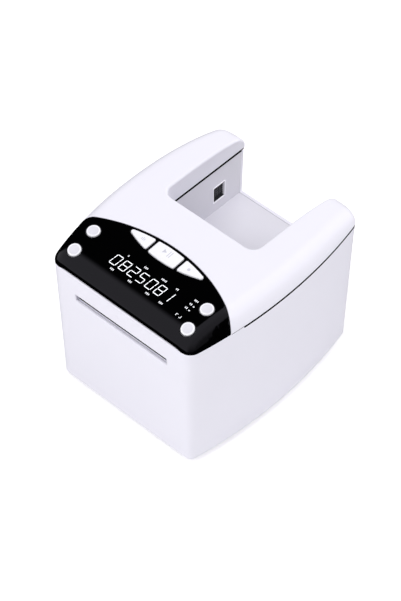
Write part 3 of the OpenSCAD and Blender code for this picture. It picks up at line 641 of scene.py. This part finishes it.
def lens_outline(side, grow=0.0, n=15):
    """Plan of a shaped button, anticlockwise: side is -1, 0 or 1."""
    x0, x1 = LENS_SIDE_X if side else LENS_MID_X

    def low(x):
        return LENS_LOW_CY - np.sqrt(LENS_LOW_R**2 - x**2)

    def high(x):
        return PANEL_CY + np.sqrt(LENS_TOP_R**2 - x**2)

    if side:
        t = np.linspace(0, 1, n)
        xs = x0 + (x1 - x0) * t
        tip = arc(x1, float(low(x1) + high(x1)) / 2, float(high(x1) - low(x1)) / 2, -72, 72, 9)
        pts = np.concatenate([np.stack([xs, low(xs)], 1)[:-1], tip, np.stack([xs, high(xs)], 1)[::-1][1:]])
    else:
        xs = np.linspace(x0, x1, n)
        pts = np.concatenate([np.stack([xs, low(xs)], 1), np.stack([xs, high(xs)], 1)[::-1]])
    pts = soften(pts, 1.0)
    pts = pts - mitre(pts, True) * grow
    return pts if side >= 0 else (pts * [-1, 1])[::-1]


def soften(pts, r):
    """Rounds the sharp corners of a closed outline, leaving its smooth stretches."""
    prev, after = np.roll(pts, 1, 0), np.roll(pts, -1, 0)
    a, b = pts - prev, after - pts
    turn = np.abs(np.degrees(np.arctan2(a[:, 0] * b[:, 1] - a[:, 1] * b[:, 0], (a * b).sum(1))))
    out = []
    for k in range(len(pts)):
        if turn[k] < 40:
            corners = [j for j in (k - 1, (k + 1) % len(pts)) if turn[j] >= 40]
            if all(np.hypot(*(pts[k] - pts[j])) >= r * 1.4 for j in corners):
                out.append(pts[k])
            continue
        u = (prev[k] - pts[k]) / np.linalg.norm(prev[k] - pts[k])
        v = (after[k] - pts[k]) / np.linalg.norm(after[k] - pts[k])
        half = math.acos(np.clip(u @ v, -1, 1)) / 2
        s = r / math.tan(half)
        centre = pts[k] + (u + v) / np.linalg.norm(u + v) * r / math.sin(half)
        p0, p1 = pts[k] + u * s - centre, pts[k] + v * s - centre
        a0, a1 = math.atan2(p0[1], p0[0]), math.atan2(p1[1], p1[0])
        sweep = (a1 - a0 + math.pi) % (2 * math.pi) - math.pi
        out += turned(centre, r, a0, sweep, 6)
    return np.array(out)


def round_outline(x, y, r, n=40):
    """Plan of a round hole whose axis follows the crown's normal there."""
    t = np.radians(np.arange(n) * 360 / n)
    return np.stack([x + r * np.cos(t), y + r * np.sin(t) * math.cos(crown_slope(y))], 1)


def button_holes(grow):
    holes = [lens_outline(s, grow) for s in (-1, 0, 1)]
    holes += [round_outline(x, y, ROUND_R + grow) for x in (-ROUND_X, ROUND_X) for y in ROUND_Y.values()]
    return [h[::-1] for h in holes]


def front_plan(i, g):
    """Plan of the panel region with inset i, its rear arc grown by g, anticlockwise."""
    tip = panel_tip(g, i)
    right = right_edge(-HALF_L + i, tip[1], i)
    left = right[::-1] * [-1, 1]
    nose = np.array([[x, i - HALF_L] for x in np.linspace(left[-1][0], right[0][0], 26)])[1:-1]
    return np.concatenate([nose, right, panel_arc(g, i)[1:-1], left])


def panel():
    line = front_plan(0.0, -PANEL_GAP)
    radius = np.where(line[:, 1] > -39.0, 0.3, 0.0)
    rings = [0, 0.04, 0.12, 0.25, 0.45, 0.7, 1.0]
    holes = button_holes(BUTTON_C)
    lines = [(line, True, rings)] + [(h, True, [0, 0.08, 0.18, 0.3]) for h in holes]

    def top(p, depth):
        z = np.maximum(crown(p[:, 0], p[:, 1]) - depth, SEAM + 0.05)
        return np.stack([p[:, 0], p[:, 1], z], 1)

    def under(p, edge):
        z = np.maximum(crown(p[:, 0], p[:, 1], PANEL_T), SEAM + 0.02)
        z = np.minimum(z, crown(p[:, 0], p[:, 1]) - 0.01)
        return np.stack([p[:, 0], p[:, 1], np.maximum(z, SEAM + 0.02)], 1)

    radii = [radius] + [0.3] * len(holes)
    obj = shell("panel_shell", lines, line, holes, 1.2, top, under, "machine", PANEL, radii, weighted=True)
    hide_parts("control_panel")


# ---------------------------------------------------------------- buttons
LIP = PANEL_T + 1.8 + 0.35
CAP_H = 0.7
CAP_R = 3.7
# Radius of the painted shade on the round buttons' concave faces
DISH_SHADE_R = 2.85


def lens_button(node, side):
    line = lens_outline(side, -0.1)
    rings = [0, 0.06, 0.16, 0.3, 0.5, 0.75]
    mid = line.mean(0)

    def top(p, depth):
        rise = 0.15 * np.maximum(0, 1 - ((p[:, 0] - mid[0]) / 9.5) ** 2)
        z = crown(p[:, 0], p[:, 1]) + CAP_H - 0.15 + rise - depth
        return np.stack([p[:, 0], p[:, 1], z], 1)

    def under(p, edge):
        return np.stack([p[:, 0], p[:, 1], crown(p[:, 0], p[:, 1]) - LIP - 1], 1)

    lines = [(line, True, rings)]
    obj = shell(node + "_cap", lines, line, [], 1.0, top, under, node, BUTTON, [0.75], weighted=True)
    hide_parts(node)


def round_button(node, x, y):
    rim = [(3.0, 0.62), (3.2, 0.66), (3.4, 0.62), (3.56, 0.5), (3.66, 0.3), (CAP_R, 0.0)]
    face = [(0.0, 0.18), (1.0, 0.2), (1.8, 0.27), (2.4, 0.38), (2.8, 0.52)] + rim
    neck = [(CAP_R, -0.5), (3.1, -0.9), (3.1, -LIP)]
    flange = [(ROUND_R + 0.9, -LIP), (ROUND_R + 0.9, -LIP - 1), (1.6, -LIP - 1)]
    stem = [(1.6, -5.6), (0.0, -5.6)]
    profile = face[::-1] + stem[::-1] + flange[::-1] + neck[::-1]
    verts, faces = lathe(profile, 64)
    faces = [f[::-1] for f in faces]
    place = on_crown(x, y)
    obj = make_mesh(node + "_cap", verts, faces, node, BUTTON, place, weighted=True)
    weld(obj)
    obj.data.materials.append(DISH_SHADE)
    # Faces inside this radius on the cap's top take the darker copy: painted shade of the dish
    for f in obj.data.polygons:
        p = place.inverted() @ (f.center / MM)
        if math.hypot(p[0], p[1]) < DISH_SHADE_R and p[2] > 0:
            f.material_index = 1
    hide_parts(node)


# ---------------------------------------------------------------- prints on buttons and panel
def prints(name, polys, body, mat, lift=0.02, base=0.0, step=0.8):
    """Thin marks that lie on the crown: each polygon becomes a closed sliver of its own in one piece."""
    verts, faces = [], []
    for poly in polys:
        line = resample(np.array(poly, float), step)
        v, tris, rims = fill([(line, True, [0])], line, [], step * 1.2)
        z = crown(v[:, 0], v[:, 1]) + base
        n, start = len(v), len(verts)
        verts += [(x, y, h + lift) for (x, y), h in zip(v, z)]
        verts += [(x, y, h - 0.05) for (x, y), h in zip(v, z)]
        faces += [tuple(int(i) + start for i in t) for t in tris]
        faces += [tuple(int(i) + start + n for i in t[::-1]) for t in tris]
        rim = rims[0][0]
        for k in range(len(rim)):
            a, b = rim[k], rim[(k + 1) % len(rim)]
            faces.append((b + start, a + start, a + start + n, b + start + n))
    return make_mesh(name, verts, faces, body, mat)


SEGMENTS = {"0": "abcdef", "1": "bc", "2": "abged", "5": "afgcd", "8": "abcdefg"}
DIGIT_W, DIGIT_H, STROKE, SLANT = 3.9, 6.1, 0.37, 0.16


def digit(char, cx, cy):
    """Strokes of a seven-segment digit as hexagons."""
    w, h, s = DIGIT_W / 2, DIGIT_H / 2, STROKE / 2
    ends = {
        "a": ((-w, h), (w, h)), "g": ((-w, 0), (w, 0)), "d": ((-w, -h), (w, -h)),
        "b": ((w, 0), (w, h)), "c": ((w, -h), (w, 0)), "e": ((-w, -h), (-w, 0)), "f": ((-w, 0), (-w, h)),
    }
    out = []
    for k in SEGMENTS[char]:
        a, b = np.array(ends[k][0], float), np.array(ends[k][1], float)
        t = (b - a) / np.linalg.norm(b - a)
        n = np.array([-t[1], t[0]]) * s
        a, b = a + t * 0.12, b - t * 0.12
        hexagon = [a, a + t * s - n, b - t * s - n, b, b - t * s + n, a + t * s + n]
        out.append([(cx + p[0] + SLANT * p[1], cy + p[1]) for p in hexagon])
    return out


def display():
    y = 16.9 - HALF_L
    strokes = []
    for char, x in zip("0825081", (-17.7, -11.5, -5.4, 0.75, 7.1, 13.25, 18.9)):
        strokes += digit(char, x, y)
    prints("display_digits", strokes, "machine", LIT)
    marks = []
    for x, w in ((-14.4, 1.4), (-2.0, 3.2), (10.6, 3.6), (19.8, 1.5)):
        marks += ticks(x, 22.6 - HALF_L, w)
    for x, w in ((-15.8, 2.6), (-3.2, 3.0), (9.2, 2.8), (18.5, 2.4)):
        marks += ticks(x, 11.6 - HALF_L, w)
    marks += ticks(32.4, 23.3 - HALF_L, 3.0)
    for x, d in ((31.4, 20.2), (31.0, 17.2)):
        marks += ticks(x, d - HALF_L, 2.0)
        marks.append(bar(x + 2.3, d - 0.4 - HALF_L, 0.9, 0.6))
    x, d = 31.0, 11.4 - HALF_L
    for s in (-1, 1):
        marks += [bar(x + s * 1.6, d, 0.35, 1.3), bar(x + s * 1.0, d - s * 0.6, 0.9, 0.3)]
    prints("display_marks", marks, "machine", MARK)


def ticks(x, y, w):
    """A row of small blocks, as the scale mark of one display field."""
    n = max(1, int(round(w / 0.95)))
    return [bar(x + (k - (n - 1) / 2) * 0.9, y, 0.56, 0.9 + 0.25 * (k % 2)) for k in range(n)]


def icons():
    x, y = 0.6, LENS_Y + 0.55
    play = [(x - 3.2, y - 1.4), (x - 1.0, y), (x - 3.2, y + 1.4)]
    pause = [bar(x + 0.6, y, 0.45, 4.0), bar(x + 1.9, y, 0.45, 4.0)]
    prints("start_icon", [play] + pause, "start_button", PRINT, 0.03, CAP_H)
    x, y = 16.0, LENS_Y - 0.4
    lines = [bar(-x + k * 0.9, y, 0.4, h) for k, h in ((-1, 1.3), (0, 2.0), (1, 1.3))]
    prints("left_icon", lines, "left_button", PRINT, 0.04, CAP_H)
    prints("right_icon", [circle(x, y, 0.9, 24)], "right_button", PRINT, 0.04, CAP_H)


def merge_meshes(pieces):
    """Points and faces of several closed meshes as one list."""
    verts, faces = [], []
    for v, f in pieces:
        start = len(verts)
        verts += list(v)
        faces += [tuple(i + start for i in face) for face in f]
    return verts, faces


def strip_mesh(line, normals, z0, z1, depth):
    inner = line - normals * depth
    verts, faces = [], []
    for (x, y), (u, v) in zip(line, inner):
        verts += [(x, y, z0), (x, y, z1), (u, v, z1), (u, v, z0)]
    n = len(line)
    for k in range(n - 1):
        a, b = 4 * k, 4 * k + 4
        faces += [(a + j, b + j, b + (j + 1) % 4, a + (j + 1) % 4) for j in range(4)]
    faces += [(3, 2, 1, 0), (4 * n - 4, 4 * n - 3, 4 * n - 2, 4 * n - 1)]
    return verts, faces


def box_mesh(lo, hi):
    x0, y0, z0 = lo
    x1, y1, z1 = hi
    verts = [(x, y, z) for z in (z0, z1) for x, y in ((x0, y0), (x1, y0), (x1, y1), (x0, y1))]
    faces = [(3, 2, 1, 0), (4, 5, 6, 7), (0, 1, 5, 4), (1, 2, 6, 5), (2, 3, 7, 6), (3, 0, 4, 7)]
    return verts, faces


def bevelled(obj, width, segments=2):
    """Rounds the edges of a piece."""
    mod = obj.modifiers.new("bevel", "BEVEL")
    mod.width = width * MM
    mod.segments = segments
    mod.limit_method = "ANGLE"
    mod.angle_limit = math.radians(40)
    return obj


def side_strips(line, z0, z1, thick=1.9):
    """A strip inward from a line along the right-hand outline, and its mirror image."""
    normals = -mitre(line, False)
    flip = [-1, 1]
    right = strip_mesh(line, normals, z0, z1, thick)
    return [right, strip_mesh((line * flip)[::-1], (normals * flip)[::-1], z0, z1, thick)]


def seam_shade():
    """The seam's painted shade: black strips, wide behind GAP_Y, a fine line forward to the panel and a strip
    inside the hopper, which stand in for the shade in the gap between cover and casing.
    """
    z0, z1 = SEAM - GAP_H, SEAM
    right = right_edge(GAP_Y + 0.2, HALF_L, 0.03, 2.0)
    rear = np.array([[x, HALF_L - 0.08] for x in np.linspace(right[-1][0], HOPPER + 0.02, 4)])[1:]
    pieces = side_strips(np.concatenate([right, rear]), z0 - 0.35, z1)
    pieces += side_strips(right_edge(panel_tip(0.0)[1] + 0.4, GAP_Y + 0.1, -0.03, 2.0), z1 - 0.3, z1)
    end = box_mm("side_plate_left")[1][1]
    for s in (-1, 1):
        a, b = sorted((s * (HOPPER - 0.35), s * (HOPPER + 1.9)))
        pieces.append(box_mesh((a, OPEN_Y + 2, z0 - 0.7), (b, end, z1 - 0.02)))
    verts, faces = merge_meshes(pieces)
    # One black piece for all the strips: painted shade of the seam gap
    obj = make_mesh("seam_line", verts, faces, "machine", SEAM_SHADE)
    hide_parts("seam_gasket")


def ring_mesh(outer, inner, depth0, depth1, place):
    """A flat frame between two closed outlines of the same count, from depth0 to depth1."""
    n = len(outer)
    verts = [place(p, d) for d in (depth0, depth1) for p in list(outer) + list(inner)]
    faces = []
    for k in range(n):
        j = (k + 1) % n
        faces += [(k, j, n + j, n + k), (3 * n + k, 3 * n + j, 2 * n + j, 2 * n + k)]
        faces += [(j, k, 2 * n + k, 2 * n + j), (n + k, n + j, 3 * n + j, 3 * n + k)]
    return verts, faces


# The sensor windows: the pane lies this far behind the hopper's wall, under a grill of thin bars
RECESS = 1.2
WINDOW_W, WINDOW_H = 8.8, 10.8
GRILL_T = 0.24


def sensor(side):
    node = f"sensor_window_{'left' if side < 0 else 'right'}"
    lo, hi = box_mm(node)
    cy, cz = (lo[1] + hi[1]) / 2, (lo[2] + hi[2]) / 2

    def block(d0, d1, y, z, w, h):
        """A box from d0 to d1 behind the wall, its middle at y, z from the window's."""
        x0, x1 = sorted((side * (HOPPER + d0), side * (HOPPER + d1)))
        return box_mesh((x0, cy + y - w / 2, cz + z - h / 2), (x1, cy + y + w / 2, cz + z + h / 2))

    def place(p, d):
        return (side * (HOPPER - d), cy + p[0], cz + p[1])

    pieces = [block(RECESS + 0.3, RECESS + 1.0, 0, 0, WINDOW_W, WINDOW_H)]
    for k in range(1, 6):
        pieces.append(block(RECESS, RECESS + 0.3, WINDOW_W * (k / 6 - 0.5), 0, GRILL_T, WINDOW_H))
    for k in range(1, 7):
        pieces.append(block(RECESS, RECESS + 0.3, 0, WINDOW_H * (k / 7 - 0.5), WINDOW_W, GRILL_T))
    # A dark sill along the lower edge of the opening: painted shadow, the shade a card casts on the ledge,
    # which makes the dark pane taller
    shadow_sill = 0.3
    pieces.append(block(0.1, RECESS + 0.3, 0, (shadow_sill - WINDOW_H) / 2, WINDOW_W, shadow_sill))
    verts, faces = merge_meshes(pieces)
    window = make_mesh(f"{node}_pane", verts, faces, "machine", PANE_AND_SHADE)
    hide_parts(node)
    outer = rect(0, 0, WINDOW_W + 1.2, WINDOW_H + 1.2, 0.7)
    inner = rect(0, 0, WINDOW_W - 0.1, WINDOW_H - 0.1, 0.3)
    verts, faces = ring_mesh(outer, inner, 0.35, -RECESS - 0.1, place)
    if side < 0:
        faces = [f[::-1] for f in faces]
    # The frame glows faintly: painted light on its edges
    bezel = make_mesh(f"{node}_frame", verts, faces, "machine", BEZEL_GLOW)
    bevelled(bezel, 0.15)


def slot_frame():
    half_x, half_z = SLOT_HI[0] - 1, (SLOT_HI[2] - SLOT_LO[2]) / 2 - 1
    cz = (SLOT_LO[2] + SLOT_HI[2]) / 2

    def place(p, d):
        return (p[0], SLOT_LO[1] + d, cz + p[1])

    outer = rect(0, 0, 2 * half_x + 2, 2 * half_z + 2, 0.5)
    inner = rect(0, 0, 2 * half_x, 2 * half_z, 0.4)
    verts, faces = ring_mesh(outer, inner, 0.0, 0.55, place)
    obj = make_mesh("slot_frame", verts, faces, "machine", WHITE)
    bevelled(obj, 0.2)
    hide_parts("slot_trim")


# ---------------------------------------------------------------- power rocker and retard pad
def prism(profile, t0, t1, place):
    """A closed outline carried from t0 to t1."""
    n = len(profile)
    verts = [place(p, t) for t in (t0, t1) for p in profile]
    faces = [tuple(range(n))[::-1], tuple(range(n, 2 * n))]
    faces += [(k, (k + 1) % n, n + (k + 1) % n, n + k) for k in range(n)]
    return verts, faces


ROCKER_TILT = -6.0
ROCKER_V = 0.6


def rocker():
    lo, hi = box_mm("rocker_housing")
    cx, cz = (lo[0] + hi[0]) / 2, (lo[2] + hi[2]) / 2
    cy = HALF_L - 4.8
    turn = math.radians(ROCKER_TILT)

    def at(x, y, z):
        return tuple(Vector((cx, cy, cz + z)) + Matrix.Rotation(turn, 3, "Z") @ Vector((x, y, 0)))

    half = [(0, 3.35 - ROCKER_V), (2.4, 3.35 - ROCKER_V / 2), (4.7, 3.33), (5.2, 3.3)]
    half += [(5.6, 2.9), (6.05, 1.9), (6.3, 0.6), (6.3, -0.8)]
    profile = [(-x, y) for x, y in half[::-1]] + half[1:]
    verts, faces = prism(profile[::-1], -4.35, 4.35, lambda p, t: at(p[0], p[1], t))
    obj = make_mesh("rocker_paddle", verts, faces, "power_rocker", BLACK)
    bevelled(obj, 0.35, 3)
    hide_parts("power_rocker")

    def on_face(x, z, lift):
        return at(x, 3.35 - ROCKER_V + ROCKER_V * abs(x) / 4.7 + lift, z)

    bar_line = rect(3.0, 0, 0.45, 2.8, 0.15)
    pieces = [prism(bar_line[::-1], -0.1, 0.03, lambda p, t: on_face(p[0], p[1], t))]
    ring = [np.array(round_outline(-3.0, 0, r, 24)) for r in (1.25, 0.85)]
    verts, faces = ring_mesh(ring[0], ring[1], 0.03, -0.1, lambda p, d: on_face(p[0], p[1], d))
    pieces.append((verts, faces))
    verts, faces = merge_meshes(pieces)
    make_mesh("rocker_marks", verts, faces, "power_rocker", PRINT)

    def rim(p, d):
        return tuple(on_wall(np.array([-cx + p[0]]), np.array([cz + p[1]]), d)[0])

    outer, inner = rect(0, 0, 15.8, 11.2, 1.5), rect(0, 0, 13.7, 9.1, 0.9)
    verts, faces = ring_mesh(outer, inner, -0.5, 0.5, rim)
    bezel = make_mesh("rocker_bezel", verts, faces, "machine", BLACK)
    bevelled(bezel, 0.2, 3)


def retard_pad():
    lo, hi = box_mm("retard_pad")
    y0, y1, z0, z1 = lo[1], hi[1], lo[2] + 0.7, hi[2]
    ribs = 6
    pitch = (z1 - z0 - 0.4) / ribs
    profile = [(y0, z0), (y1 - 0.5, z0), (y1 - 0.3, z0 + 0.1)]
    for k in range(ribs):
        base = z0 + 0.2 + k * pitch
        for f, out in ((0.1, 0.35), (0.25, 0.08), (0.5, 0.0), (0.75, 0.08), (0.9, 0.35)):
            profile.append((y1 - out, base + f * pitch))
    profile += [(y1 - 0.3, z1 - 0.1), (y1 - 0.5, z1), (y0, z1)]
    verts, faces = prism(profile, lo[0] + 0.02, hi[0] - 0.02, lambda p, t: (t, p[0], p[1]))
    root = circle(y0 + 0.7, z0, 0.68, 16)
    pieces = [(verts, faces), prism(root, lo[0] + 0.02, hi[0] - 0.02, lambda p, t: (t, p[0], p[1]))]
    verts, faces = merge_meshes(pieces)
    obj = make_mesh("retard_pad_ribs", verts, faces, "machine", RUBBER, sharp=50)
    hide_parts("retard_pad")


# ---------------------------------------------------------------- rollers
TYRE_X = (8.0, 20.0)


def roller_mesh(x0, x1, cy, cz, r, bore, ribs=26, groove=0.35):
    """A ribbed rubber tyre along X with softened rims."""
    ring = []
    for k in range(ribs):
        for da, dr in ((-0.30, 0), (0.0, 0), (0.30, 0), (0.42, groove), (0.58, groove)):
            a = 2 * math.pi * (k + da) / ribs
            ring.append((a, r - dr))
    n = len(ring)
    stations = [(x0, -0.6), (x0 + 0.25, -0.15), (x0 + 0.6, 0), (x1 - 0.6, 0), (x1 - 0.25, -0.15), (x1, -0.6)]
    verts = []
    for x, dr in stations:
        verts += [(x, cy + (rr + dr) * math.cos(a), cz + (rr + dr) * math.sin(a)) for a, rr in ring]
    faces = []
    for s in range(len(stations) - 1):
        for k in range(n):
            j = (k + 1) % n
            faces.append((s * n + k, s * n + j, (s + 1) * n + j, (s + 1) * n + k))
    last = (len(stations) - 1) * n
    start = len(verts)
    verts += [(x, cy + bore * math.cos(a), cz + bore * math.sin(a)) for x in (x0, x1) for a, _ in ring]
    for k in range(n):
        j = (k + 1) % n
        faces += [(j, k, start + k, start + j), (last + k, last + j, start + n + j, start + n + k)]
        faces.append((start + j, start + k, start + n + k, start + n + j))
    return verts, faces


def rollers(node, body, bore, ribs):
    lo, hi = box_mm(node)
    r, cy, cz = (hi[2] - lo[2]) / 2, (lo[1] + hi[1]) / 2, (lo[2] + hi[2]) / 2
    pieces = []
    for s in (-1, 1):
        x0, x1 = sorted((s * TYRE_X[0], s * TYRE_X[1]))
        pieces.append(roller_mesh(x0, x1, cy, cz, r, bore, ribs))
    verts, faces = merge_meshes(pieces)
    obj = make_mesh(node + "_tyres", verts, faces, body, RUBBER)
    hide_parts(node)


casing()
cover()
panel()
seam_shade()
slot_frame()
sensor(-1)
sensor(1)
rocker()
retard_pad()
rollers("pickup_rollers", "pickup", 2.0, 28)
rollers("exit_rollers", "exit_roll", 2.0, 22)
rollers("pinch_rollers", "pinch_roll", 1.5, 18)
for node, side in (("left_button", -1), ("start_button", 0), ("right_button", 1)):
    lens_button(node, side)
for place, y in ROUND_Y.items():
    for side, x in (("left", -ROUND_X), ("right", ROUND_X)):
        round_button(f"round_button_{place}_{side}", x, y)
display()
icons()


# ---------------------------------------------------------------- floor, light and camera
FLOOR_HALF = 6.0
BACKDROP_R = 5.9
BACKDROP_H = 9.0


def stage_piece(name, verts, faces, mat):
    """A piece of the studio, in metres, that the glossy panel doesn't mirror."""
    mesh = bpy.data.meshes.new(name)
    mesh.from_pydata(verts, [], faces)
    obj = bpy.data.objects.new(name, mesh)
    obj.data.materials.append(mat)
    bpy.context.scene.collection.objects.link(obj)
    obj.visible_glossy = False
    return obj


def stage_floor():
    mat = material("floor", (0.9, 0.9, 0.9), 0.6, mottle=0.003, glow=0.25)
    corners = [(x, y, 0) for x, y in bar(0, 0, 2 * FLOOR_HALF, 2 * FLOOR_HALF)]
    stage_piece("floor", corners, [(0, 1, 2, 3)], mat)


def backdrop():
    """A white wall round the floor's edge, which gives no light and casts no shadow."""
    plain = bpy.data.materials.new("backdrop")
    plain.use_nodes = True
    bsdf = plain.node_tree.nodes["Principled BSDF"]
    bsdf.inputs["Base Color"].default_value = (0, 0, 0, 1)
    bsdf.inputs["Emission Color"].default_value = (1, 1, 1, 1)
    bsdf.inputs["Emission Strength"].default_value = 1.0
    plain.cycles.emission_sampling = "NONE"
    ring = circle(0, 0, BACKDROP_R, 64)
    n = len(ring)
    verts = [(x, y, z) for z in (0.0, BACKDROP_H) for x, y in ring]
    faces = [((k + 1) % n, k, n + k, n + (k + 1) % n) for k in range(n)]
    wall = stage_piece("backdrop", verts, faces, plain)
    wall.visible_diffuse = wall.visible_shadow = wall.visible_transmission = False


def area_light(name, at, target, size, power):
    data = bpy.data.lights.new(name, "AREA")
    data.shape, data.size, data.energy = "DISK", size, power
    obj = bpy.data.objects.new(name, data)
    obj.location = at
    obj.rotation_euler = (Vector(target) - Vector(at)).to_track_quat("-Z", "Y").to_euler()
    obj.visible_glossy = False
    bpy.context.scene.collection.objects.link(obj)


def studio_light(tree):
    """A white surround with a dark flag overhead on the left, which is what the glossy panel mirrors."""
    nodes, links = tree.nodes, tree.links
    where = nodes.new("ShaderNodeTexCoord")
    split = nodes.new("ShaderNodeSeparateXYZ")
    links.new(where.outputs["Generated"], split.inputs[0])

    def ramp(axis, a, b, low, high):
        node = nodes.new("ShaderNodeMapRange")
        node.interpolation_type = "SMOOTHSTEP"
        for key, value in (("From Min", a), ("From Max", b), ("To Min", low), ("To Max", high)):
            node.inputs[key].default_value = value
        links.new(split.outputs[axis], node.inputs["Value"])
        return node.outputs["Result"]

    def math_node(kind, a, b):
        node = nodes.new("ShaderNodeMath")
        node.operation = kind
        for slot, value in zip(node.inputs, (a, b)):
            if isinstance(value, (int, float)):
                slot.default_value = value
            else:
                links.new(value, slot)
        return node.outputs[0]

    flag = math_node("MULTIPLY", ramp("X", -0.38, -0.3, 1, 0), ramp("Y", -0.14, 0.0, 0, 1))
    side = math_node("MULTIPLY", ramp("X", 0.82, 0.86, 0, 1), ramp("Y", 0.1, 0.13, 0, 1))
    side = math_node("MULTIPLY", side, ramp("Y", 0.3, 0.36, 1, 0))
    shade = math_node("ADD", math_node("MULTIPLY", ramp("Y", 0.5, 0.65, 1, 0), flag), side)
    low = math_node("MULTIPLY", ramp("X", 0.1, 0.6, 0, 0.78), ramp("Z", 0.75, 0.25, 0.25, 1))
    rear = math_node("MULTIPLY", ramp("X", -0.1, 0.2, 0, 1.1), ramp("Y", 0.22, 0.4, 0, 1))
    white = math_node("SUBTRACT", math_node("ADD", 1.06, rear), low)
    above = math_node("MULTIPLY", ramp("Z", -0.06, -0.03, 0, 1), math_node("SUBTRACT", 1.0, shade))
    level = math_node("MULTIPLY", above, white)
    links.new(level, nodes["Background"].inputs["Strength"])
    nodes["Background"].inputs["Color"].default_value = (0.99, 0.985, 1.0, 1)


stage_floor()
backdrop()
world = bpy.data.worlds.new("studio")
bpy.context.scene.world = world
world.use_nodes = True
studio_light(world.node_tree)
area_light("key", (0.1, -1.0, 1.6), (0, 0, 0.05), 1.2, 9.5)

CAM_AZ, CAM_EL = 42.83, 47.98
LENS = 147.1
camera = bpy.data.cameras.new("camera")
camera.lens, camera.sensor_width = LENS, 36.0
cam = bpy.data.objects.new("camera", camera)
az, el = math.radians(CAM_AZ), math.radians(CAM_EL)
back = Vector((math.sin(az) * math.cos(el), -math.cos(az) * math.cos(el), math.sin(el)))
cam.location = (0.5975, -0.58335 - HALF_L * MM, 0.93206 + SEAM * MM)
cam.rotation_euler = (-back).to_track_quat("-Z", "Y").to_euler()
camera.clip_start, camera.clip_end = 0.05, 50
bpy.context.scene.collection.objects.link(cam)
bpy.context.scene.camera = cam
bpy.context.scene.view_settings.view_transform = "Standard"
